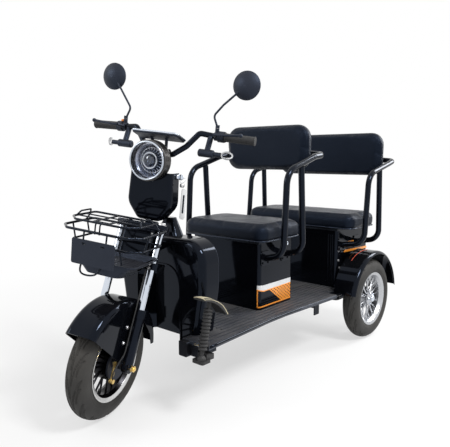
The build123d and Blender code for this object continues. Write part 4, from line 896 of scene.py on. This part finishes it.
def grip_ribs():
    rings = []
    for side in (1, -1):
        root, tip = flip(GRIP_ROOT, side), flip(GRIP_TIP, side)
        along = (tip - root).normalized()
        for i in range(17):
            place = root + along * (0.054 + 0.0062 * i)
            rings.append(lathe(ring_outline(0.0158, 0.0, 0.0011, 6), place, along, 28))
        rings.append(lathe(ring_outline(0.0166, 0.0, 0.0026, 8), root + along * 0.0495, along, 28))
        rings.append(lathe(ring_outline(0.0160, 0.0, 0.0022, 8), tip + along * 0.0024, along, 28))
    steering_piece("grip_ribs", merged(rings), "grip_rubber")


class TRIKE_OT_controls(bpy.types.Operator):
    """Add the display, the switches, the key, the signal rings and the grips' ribs"""
    bl_idname = "trike.controls"
    bl_label = "Handlebar Controls"

    def execute(self, context):
        half_u, half_v = DASH_HALF
        border = [dash_point(u, v, -0.0028) for u, v in rounded_loop(half_u, half_v, 0.014)]
        steering_piece("dash_trim", tube_along(border, 0.0036, closed=True), "bezel")
        screen = [dash_point(u, v, 0.0003) for u, v in
                  rounded_loop(half_u - 0.010, half_v - 0.020, 0.008)]
        normal = dash_point(0, 0, 1) - dash_point(0, 0, 0)
        steering_piece("dash_screen", sheet_of(screen, normal * 0.0012), "display_glass")
        horn = flip(GRIP_ROOT, -1) + Vector((-0.006, -0.028, 0.016))
        button = [(0.0, 0.0), (0.0088, 0.0), (0.0088, 0.0080), (0.0072, 0.0112), (0.0, 0.0124)]
        steering_piece("start_button", lathe(button, horn, (0.0, 0.0, 1.0), 32),
                       "bright_orange")
        rockers = []
        for side, lean in ((1, 0.3), (1, -0.3), (-1, 0.0)):
            root = flip(GRIP_ROOT, side) + Vector((-0.021, side * (0.034 + lean * 0.03), 0.004))
            rocker = bmesh.new()
            bmesh.ops.create_cube(rocker, size=1)
            bmesh.ops.scale(rocker, vec=(0.008, 0.007, 0.012), verts=rocker.verts)
            soften(rocker, rocker.edges[:], 0.0015, 3)
            rockers.append(moved_by(rocker, Matrix.Translation(root)))
        steering_piece("thumb_switches", merged(rockers), "matt_plastic")
        lock_and_key()
        signal_rings()
        grip_ribs()
        return {"FINISHED"}


class TRIKE_OT_basket_fittings(bpy.types.Operator):
    """Add the wire loop under the basket"""
    bl_idname = "trike.basket_fittings"
    bl_label = "Basket Fittings"

    def execute(self, context):
        shift = STEER_POINT.x - ROUTE_HEAD
        route = [(0.830, -0.060, 0.596), (0.842, -0.060, 0.582), (0.848, -0.056, 0.562),
                 (0.850, -0.040, 0.555), (0.849, -0.010, 0.556), (0.846, 0.014, 0.566),
                 (0.832, 0.020, 0.590)]
        loop = tube_along([(x + shift, y, z) for x, y, z in route], 0.0032)
        steering_piece("basket_loop", loop, "tube_paint")
        return {"FINISHED"}


# ---------------------------------------------------------------- stripes and trim
def side_sheet(points, face_y, side, thick, edge=0.0):
    """Thin sheet on a side wall; points are (x, z)."""
    flat = [Vector((x, side * (face_y + 0.0002), z)) for x, z in points]
    return sheet_of(flat, LEFT * side * thick, edge)


def wrap_corner(mesh, tangent_x, face_y, radius, side):
    """Bend a side sheet round the box's upright front corner."""
    for i in range(6):
        geom = mesh.verts[:] + mesh.edges[:] + mesh.faces[:]
        bmesh.ops.bisect_plane(mesh, geom=geom, plane_co=(tangent_x + i * 0.0045, 0, 0),
                               plane_no=(1, 0, 0))
    for vert in mesh.verts:
        past = vert.co.x - tangent_x
        if past > 0:
            lift = side * vert.co.y - face_y
            turn = past / radius
            vert.co.x = tangent_x + (radius + lift) * math.sin(turn)
            vert.co.y = side * (face_y - radius + (radius + lift) * math.cos(turn))
    return mesh


def front_box_stripes(side):
    """White band, orange lines and dotted field on one side of the front box."""
    low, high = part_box("front_seat_box")
    x0, x1, base, face = low.x + 0.016, high.x + 0.004, low.z + 0.010, high.y
    band = [(x1, base + 0.084), (x1, base + 0.101), (x1 - 0.040, base + 0.098),
            (x0, base + 0.098), (x0, base + 0.076), (x1 - 0.040, base + 0.074)]
    strap = [(x1, base + 0.079), (x1, base + 0.084), (x1 - 0.040, base + 0.074),
             (x0, base + 0.076), (x0, base + 0.072), (x1 - 0.040, base + 0.069)]
    front = [(x1 - 0.005, base), (x1, base), (x1, base + 0.080), (x1 - 0.005, base + 0.080)]
    foot = [(x1, base), (x1, base + 0.006), (x0, base + 0.006), (x0, base)]
    comb = [(x1 - 0.082, base + 0.0695), (x1 - 0.172, base + 0.006), (x0, base + 0.006),
            (x0, base + 0.072)]

    def sheet(outline, thick):
        flat = side_sheet(outline, face, side, thick)
        return wrap_corner(flat, high.x - 0.018, face, 0.018, side)

    orange = merged([sheet(part, 0.0004) for part in (strap, front, foot)])
    return sheet(band, 0.0004), orange, sheet(comb, 0.0003)


class TRIKE_OT_stripes(bpy.types.Operator):
    """Add the stripes on the seat boxes and the rear mudguards"""
    bl_idname = "trike.stripes"
    bl_label = "Stripes"

    def execute(self, context):
        whites, oranges, nets = zip(*(front_box_stripes(side) for side in (1, -1)))
        for name, finish, sheets in (("white", "white_trim", whites),
                                     ("orange", "accent", oranges),
                                     ("honeycomb", "honeycomb", nets)):
            new_piece("front_box_" + name, merged(sheets), "chassis", finish, False)
        low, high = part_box("rear_seat_box")
        bars = []
        for side in (1, -1):
            for front_z, rear_z in ((0.503, 0.500), (0.461, 0.452)):
                x0, x1 = low.x + 0.012, high.x - 0.070
                outline = [(x1, front_z), (x1 - 0.012, front_z + 0.006), (x0, rear_z + 0.006),
                           (x0, rear_z - 0.006), (x1, front_z - 0.005)]
                bars.append(side_sheet(outline, high.y, side, 0.0032, 0.0009))
        new_piece("rear_box_bars", merged(bars), "chassis", "accent", False)
        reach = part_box("rear_mudguard_left")[1].z - REAR_HUB.z + 0.0006
        lines = []
        for side in (1, -1):
            route = []
            for i in range(9):
                turn = math.radians(58 + 4.5 * i)
                route.append((REAR_HUB.x + reach * math.cos(turn),
                              side * (0.300 + 0.012 * (i / 8) ** 2),
                              REAR_HUB.z + reach * math.sin(turn)))
            lines.append(tube_along(route, 0.0013))
        new_piece("mudguard_lines", merged(lines), "chassis", "red_line")
        return {"FINISHED"}


def floor_edge_beads():
    """Glossy bead along each long edge of the floor."""
    low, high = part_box("floor_board")
    level = high.z - 0.010
    end, waist = high.y - 0.004, high.y - 0.027
    beads = []
    for side in (1, -1):
        route = [(high.x - 0.004, side * end, level), (high.x - 0.20, side * (end - 0.0115), level),
                 (0.150, side * (waist + 0.0015), level), (0.130, side * waist, level),
                 (0.070, side * waist, level), (0.010, side * waist, level),
                 (-0.010, side * (waist + 0.0015), level),
                 (low.x + 0.20, side * (end - 0.0115), level), (low.x + 0.003, side * end, level)]
        beads.append(tube_along(route, 0.0062))
    return merged(beads)


class TRIKE_OT_body_trim(bpy.types.Operator):
    """Add the floor's edges, the box beads, the pedal pad and the seat locks"""
    bl_idname = "trike.body_trim"
    bl_label = "Body Trim"

    def execute(self, context):
        new_piece("floor_beads", floor_edge_beads(), "chassis", "gloss_plastic")
        low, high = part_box("floor_board")
        strips = []
        for side in (1, -1):
            outline = [(high.x + 0.0004, side * y, z) for y, z in
                       ((0.192, high.z - 0.016), (0.300, high.z - 0.016), (0.304, high.z - 0.006),
                        (0.192, high.z - 0.006))]
            strips.append(sheet_of([Vector(p) for p in outline], FORWARD * 0.002, 0.0006))
        new_piece("floor_nose_strips", merged(strips), "chassis", "bezel", False)
        low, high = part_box("rear_seat_box")
        beads = []
        for side in (1, -1):
            for inset in (0.026, 0.036, 0.050):
                y = side * (high.y - inset)
                beads.append(tube_along([(high.x + 0.0002, y, low.z + 0.012),
                                         (high.x + 0.0002, y, (low.z + high.z) / 2),
                                         (high.x + 0.0002, y, high.z - 0.016)], 0.0016))
        new_piece("rear_box_beads", merged(beads), "chassis", "gloss_plastic")
        new_piece("pedal_pad", pedal_pad(), "chassis", "cream")
        locks = []
        for node in ("front_seat_box", "rear_seat_box"):
            low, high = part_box(node)
            place = Vector((low.x + 0.050, high.y, high.z - 0.022))
            locks.append(lathe([(0.0, 0.0), (0.0095, 0.0), (0.0095, 0.0030), (0.0080, 0.0042),
                                (0.0030, 0.0042), (0.0024, 0.0030), (0.0, 0.0030)],
                               place, LEFT, 32))
        new_piece("seat_locks", merged(locks), "chassis", "chrome")
        return {"FINISHED"}


def pedal_pad():
    """Cream cover over the foot brake's pad."""
    mid_y, half = 0.300, 0.0275
    tops = [(0.0335, 0.4630), (0.012, 0.4600), (-0.010, 0.4535), (-0.034, 0.4420),
            (-0.058, 0.4255), (-0.075, 0.4060), (-0.0885, 0.3850)]
    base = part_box("floor_board")[1].x
    mesh = bmesh.new()
    path = [mesh.verts.new((base + x, mid_y - half, z)) for x, z in tops]
    edges = [mesh.edges.new(pair) for pair in zip(path, path[1:])]
    swept = bmesh.ops.extrude_edge_only(mesh, edges=edges)
    bmesh.ops.translate(mesh, vec=(0, 2 * half, 0), verts=raised_verts(swept))
    bmesh.ops.subdivide_edges(mesh, edges=mesh.edges[:], cuts=5, use_grid_fill=True,
                              smooth=0.0)
    for vert in mesh.verts:
        reach = abs(vert.co.y - mid_y) / half
        vert.co.z -= 0.004 * reach ** 4
    bmesh.ops.recalc_face_normals(mesh, faces=mesh.faces)
    bmesh.ops.solidify(mesh, geom=mesh.faces[:], thickness=0.003)
    return mesh


# distances from the middle of a hub
CAP_FOOT, NUT_FOOT, NUT_CIRCLE = 0.0335, 0.0275, 0.0265
VALVE_FOOT, VALVE_OFFSET = 0.1215, 0.006
NUT_FLATS = 0.0085


class TRIKE_OT_wheel_trim(bpy.types.Operator):
    """Add the hub caps, their nuts and the valve stems"""
    bl_idname = "trike.wheel_trim"
    bl_label = "Wheel Trim"

    def execute(self, context):
        for side, name in ((1, "left"), (-1, "right")):
            hub, _ = joint_place("rear_wheel_" + name + "_spin")
            out = LEFT * side
            cap = [(0.0, 0.0), (0.0165, 0.0), (0.0165, 0.0045), (0.0140, 0.0085),
                   (0.0080, 0.0110), (0.0, 0.0118)]
            parts = [lathe(cap, hub + out * CAP_FOOT, out, 40)]
            for turn in around(5):
                spot = hub + Vector((NUT_CIRCLE * math.cos(turn), side * NUT_FOOT,
                                     NUT_CIRCLE * math.sin(turn)))
                parts.append(bolt_head(spot, out, NUT_FLATS))
            new_piece("hub_cap_" + name, merged(parts), "rear_wheel_" + name, "chrome")
        for body, joint, spin in (("front_wheel", "front_wheel_spin", FRONT_SPIN),
                                  ("rear_wheel_left", "rear_wheel_left_spin", LEFT),
                                  ("rear_wheel_right", "rear_wheel_right_spin", -LEFT)):
            hub, _ = joint_place(joint)
            out = (FORWARD * 0.5 - UP * 0.86)
            out = (out - spin * out.dot(spin)).normalized()
            stem = [(0.0, 0.0), (0.0032, 0.0), (0.0028, 0.016), (0.0036, 0.0165),
                    (0.0036, 0.024), (0.0, 0.025)]
            place = hub + out * VALVE_FOOT + spin * VALVE_OFFSET
            new_piece("valve_" + body, lathe(stem, place, -out, 16), body, "grip_rubber")
        return {"FINISHED"}


# inset from the rear box's front and height of each of its bolts
BOX_BOLTS = ((0.018, 0.470), (0.018, 0.420), (0.030, 0.380))
MUDGUARD_BOLT_HEIGHTS = (0.292, 0.345)
# distance up the steering axis of the upper yoke's bolts, heights of the lower yoke's bolts
UPPER_YOKE, LOWER_YOKE = 0.7442, (0.5455, 0.5585)


class TRIKE_OT_fasteners(bpy.types.Operator):
    """Add the bolts on the rear box and on the fork"""
    bl_idname = "trike.fasteners"
    bl_label = "Fasteners"

    def execute(self, context):
        places = []
        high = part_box("rear_seat_box")[1]
        for side in (1, -1):
            for inset, z in BOX_BOLTS:
                places.append(((high.x - inset, side * high.y, z), LEFT * side, 0.7))
        bolts("body_bolts", "chassis", places)
        turned = []
        rake_slope = STEER_AXIS.x / STEER_AXIS.z
        forward = LEFT.cross(STEER_AXIS).normalized()
        facing = STEERED.to_3x3()
        for side in (1, -1):
            for z in MUDGUARD_BOLT_HEIGHTS:
                x = STEER_POINT.x + rake_slope * z + 0.034
                turned.append((STEERED @ Vector((x, side * 0.061, z)),
                               facing @ (LEFT * side), 0.8))
            top = STEER_POINT + STEER_AXIS * UPPER_YOKE + forward * 0.0047
            turned.append((STEERED @ (top + LEFT * side * 0.084), STEER_AXIS, 1.5))
            for z in LOWER_YOKE:
                spot = STEER_POINT + STEER_AXIS * (z / STEER_AXIS.z) + forward * 0.0268
                turned.append((STEERED @ (spot + LEFT * side * 0.082),
                               facing @ forward, 0.7))
        bolts("fork_bolts", "steering", turned)
        return {"FINISHED"}


class TRIKE_OT_stage(bpy.types.Operator):
    """Set up the pale floor, the soft light and the camera"""
    bl_idname = "trike.stage"
    bl_label = "Stage"

    def execute(self, context):
        scene = context.scene
        scene.view_settings.view_transform = "Standard"
        place_floor()
        place_lights()
        place_world()
        place_camera()
        return {"FINISHED"}


def place_floor():
    """Pale floor that keeps the shadow near the trike and fades to white further out."""
    floor_mesh = bmesh.new()
    bmesh.ops.create_grid(floor_mesh, x_segments=1, y_segments=1, size=30)
    data = bpy.data.meshes.new("studio_floor")
    floor_mesh.to_mesh(data)
    floor_mesh.free()
    floor = add_object("studio_floor", data)
    paint, tree, shader, where = blank_material("studio_floor")
    for label, value in (("Base Color", (0.80, 0.80, 0.80, 1)), ("Roughness", 0.9),
                         ("Specular IOR Level", 0.0)):
        shader.inputs[label].default_value = value
    white = add_node(tree, "Emission", {"Color": (1, 1, 1, 1)})
    reach = add_node(tree, "VectorMath", {0: where}, operation="LENGTH")
    fade = add_node(tree, "MapRange", {"Value": reach.outputs["Value"], "From Min": 0.7,
                                       "From Max": 2.6, "To Min": 0.60},
                    interpolation_type="SMOOTHSTEP")
    share = add_node(tree, "Math", {0: fade.outputs["Result"], 1: seen_directly(tree)},
                     operation="MULTIPLY")
    mix = add_node(tree, "MixShader", {"Fac": share.outputs["Value"], 1: shader.outputs["BSDF"],
                                       2: white.outputs["Emission"]})
    tree.links.new(mix.outputs["Shader"], tree.nodes["Material Output"].inputs["Surface"])
    data.materials.append(paint)


def seen_directly(tree):
    """1 for rays from the camera, from a mirror finish or through glass."""
    rays = add_node(tree, "LightPath", {}).outputs
    mirrored = add_node(tree, "Math", {0: rays["Is Glossy Ray"], 1: rays["Is Transmission Ray"]},
                        operation="MAXIMUM")
    seen = add_node(tree, "Math", {0: rays["Is Camera Ray"], 1: mirrored.outputs["Value"]},
                    operation="MAXIMUM")
    return seen.outputs["Value"]


def area_light(name, place, target, size, power):
    lamp = bpy.data.lights.new(name, "AREA")
    lamp.shape = "RECTANGLE"
    lamp.size, lamp.size_y = size
    lamp.energy = power
    stand(name, lamp, place, Vector(target) - Vector(place))


def stand(name, data, place, aim):
    """Lamp or camera that looks along aim."""
    holder = add_object(name, data)
    holder.location = place
    holder.rotation_euler = aim.to_track_quat("-Z", "Y").to_euler()
    return holder


def place_lights():
    middle = (0, 0, 0.6)
    area_light("key", (0.4, 2.6, 3.4), middle, (0.9, 0.9), 110)
    area_light("fill", (3.4, -1.8, 2.6), middle, (1.6, 1.6), 45)
    area_light("rim", (-2.6, 1.4, 2.2), middle, (0.8, 1.6), 60)


def place_world():
    world = bpy.data.worlds.new("studio")
    bpy.context.scene.world = world
    world.use_nodes = True
    tree = world.node_tree
    backdrop = tree.nodes["Background"]
    backdrop.inputs["Color"].default_value = (1, 1, 1, 1)
    backdrop.inputs["Strength"].default_value = 0.55
    bright = add_node(tree, "Background", {"Color": (1, 1, 1, 1)})
    mix = add_node(tree, "MixShader", {"Fac": seen_directly(tree),
                                       1: backdrop.outputs["Background"],
                                       2: bright.outputs["Background"]})
    tree.links.new(mix.outputs["Shader"], tree.nodes["World Output"].inputs["Surface"])


def place_camera():
    """Three-quarter view from the front left, at the height of the headlamp."""
    yaw, pitch = 0.714, 0.126
    view = bpy.data.cameras.new("camera")
    view.lens = 41.48
    view.sensor_width = 36.0
    view.clip_end = 100.0
    aim = -Vector((math.cos(yaw) * math.cos(pitch), math.sin(yaw) * math.cos(pitch),
                   math.sin(pitch)))
    place = (REAR_HUB.x + 2.520, 1.514, 0.943)
    bpy.context.scene.camera = stand("camera", view, place, aim)


class TRIKE_PT_panel(bpy.types.Panel):
    """Sidebar panel with one button for each group of pieces"""
    bl_idname = "TRIKE_PT_panel"
    bl_label = "Trike"
    bl_space_type = "VIEW_3D"
    bl_region_type = "UI"
    bl_category = "Trike"

    def draw(self, context):
        layout = self.layout
        for settings in (context.scene.trike_sizes, context.scene.trike_colours):
            for name in settings.__annotations__:
                layout.prop(settings, name)
        for operator in OPERATORS:
            layout.operator(operator.bl_idname)


OPERATORS = (TRIKE_OT_finish_frame, TRIKE_OT_tyres, TRIKE_OT_wheel_trim, TRIKE_OT_headlamp,
             TRIKE_OT_controls, TRIKE_OT_basket_fittings, TRIKE_OT_stripes, TRIKE_OT_body_trim,
             TRIKE_OT_fasteners, TRIKE_OT_seats, TRIKE_OT_stage)
CLASSES = (TrikeSizes, TrikeColours) + OPERATORS + (TRIKE_PT_panel,)


def register():
    for cls in CLASSES:
        bpy.utils.register_class(cls)
    bpy.types.Scene.trike_sizes = bpy.props.PointerProperty(type=TrikeSizes)
    bpy.types.Scene.trike_colours = bpy.props.PointerProperty(type=TrikeColours)


def unregister():
    del bpy.types.Scene.trike_colours
    del bpy.types.Scene.trike_sizes
    for cls in reversed(CLASSES):
        bpy.utils.unregister_class(cls)


def main():
    register()
    for operator in OPERATORS:
        group, name = operator.bl_idname.split(".")
        getattr(getattr(bpy.ops, group), name)()


if __name__ == "__main__":
    main()
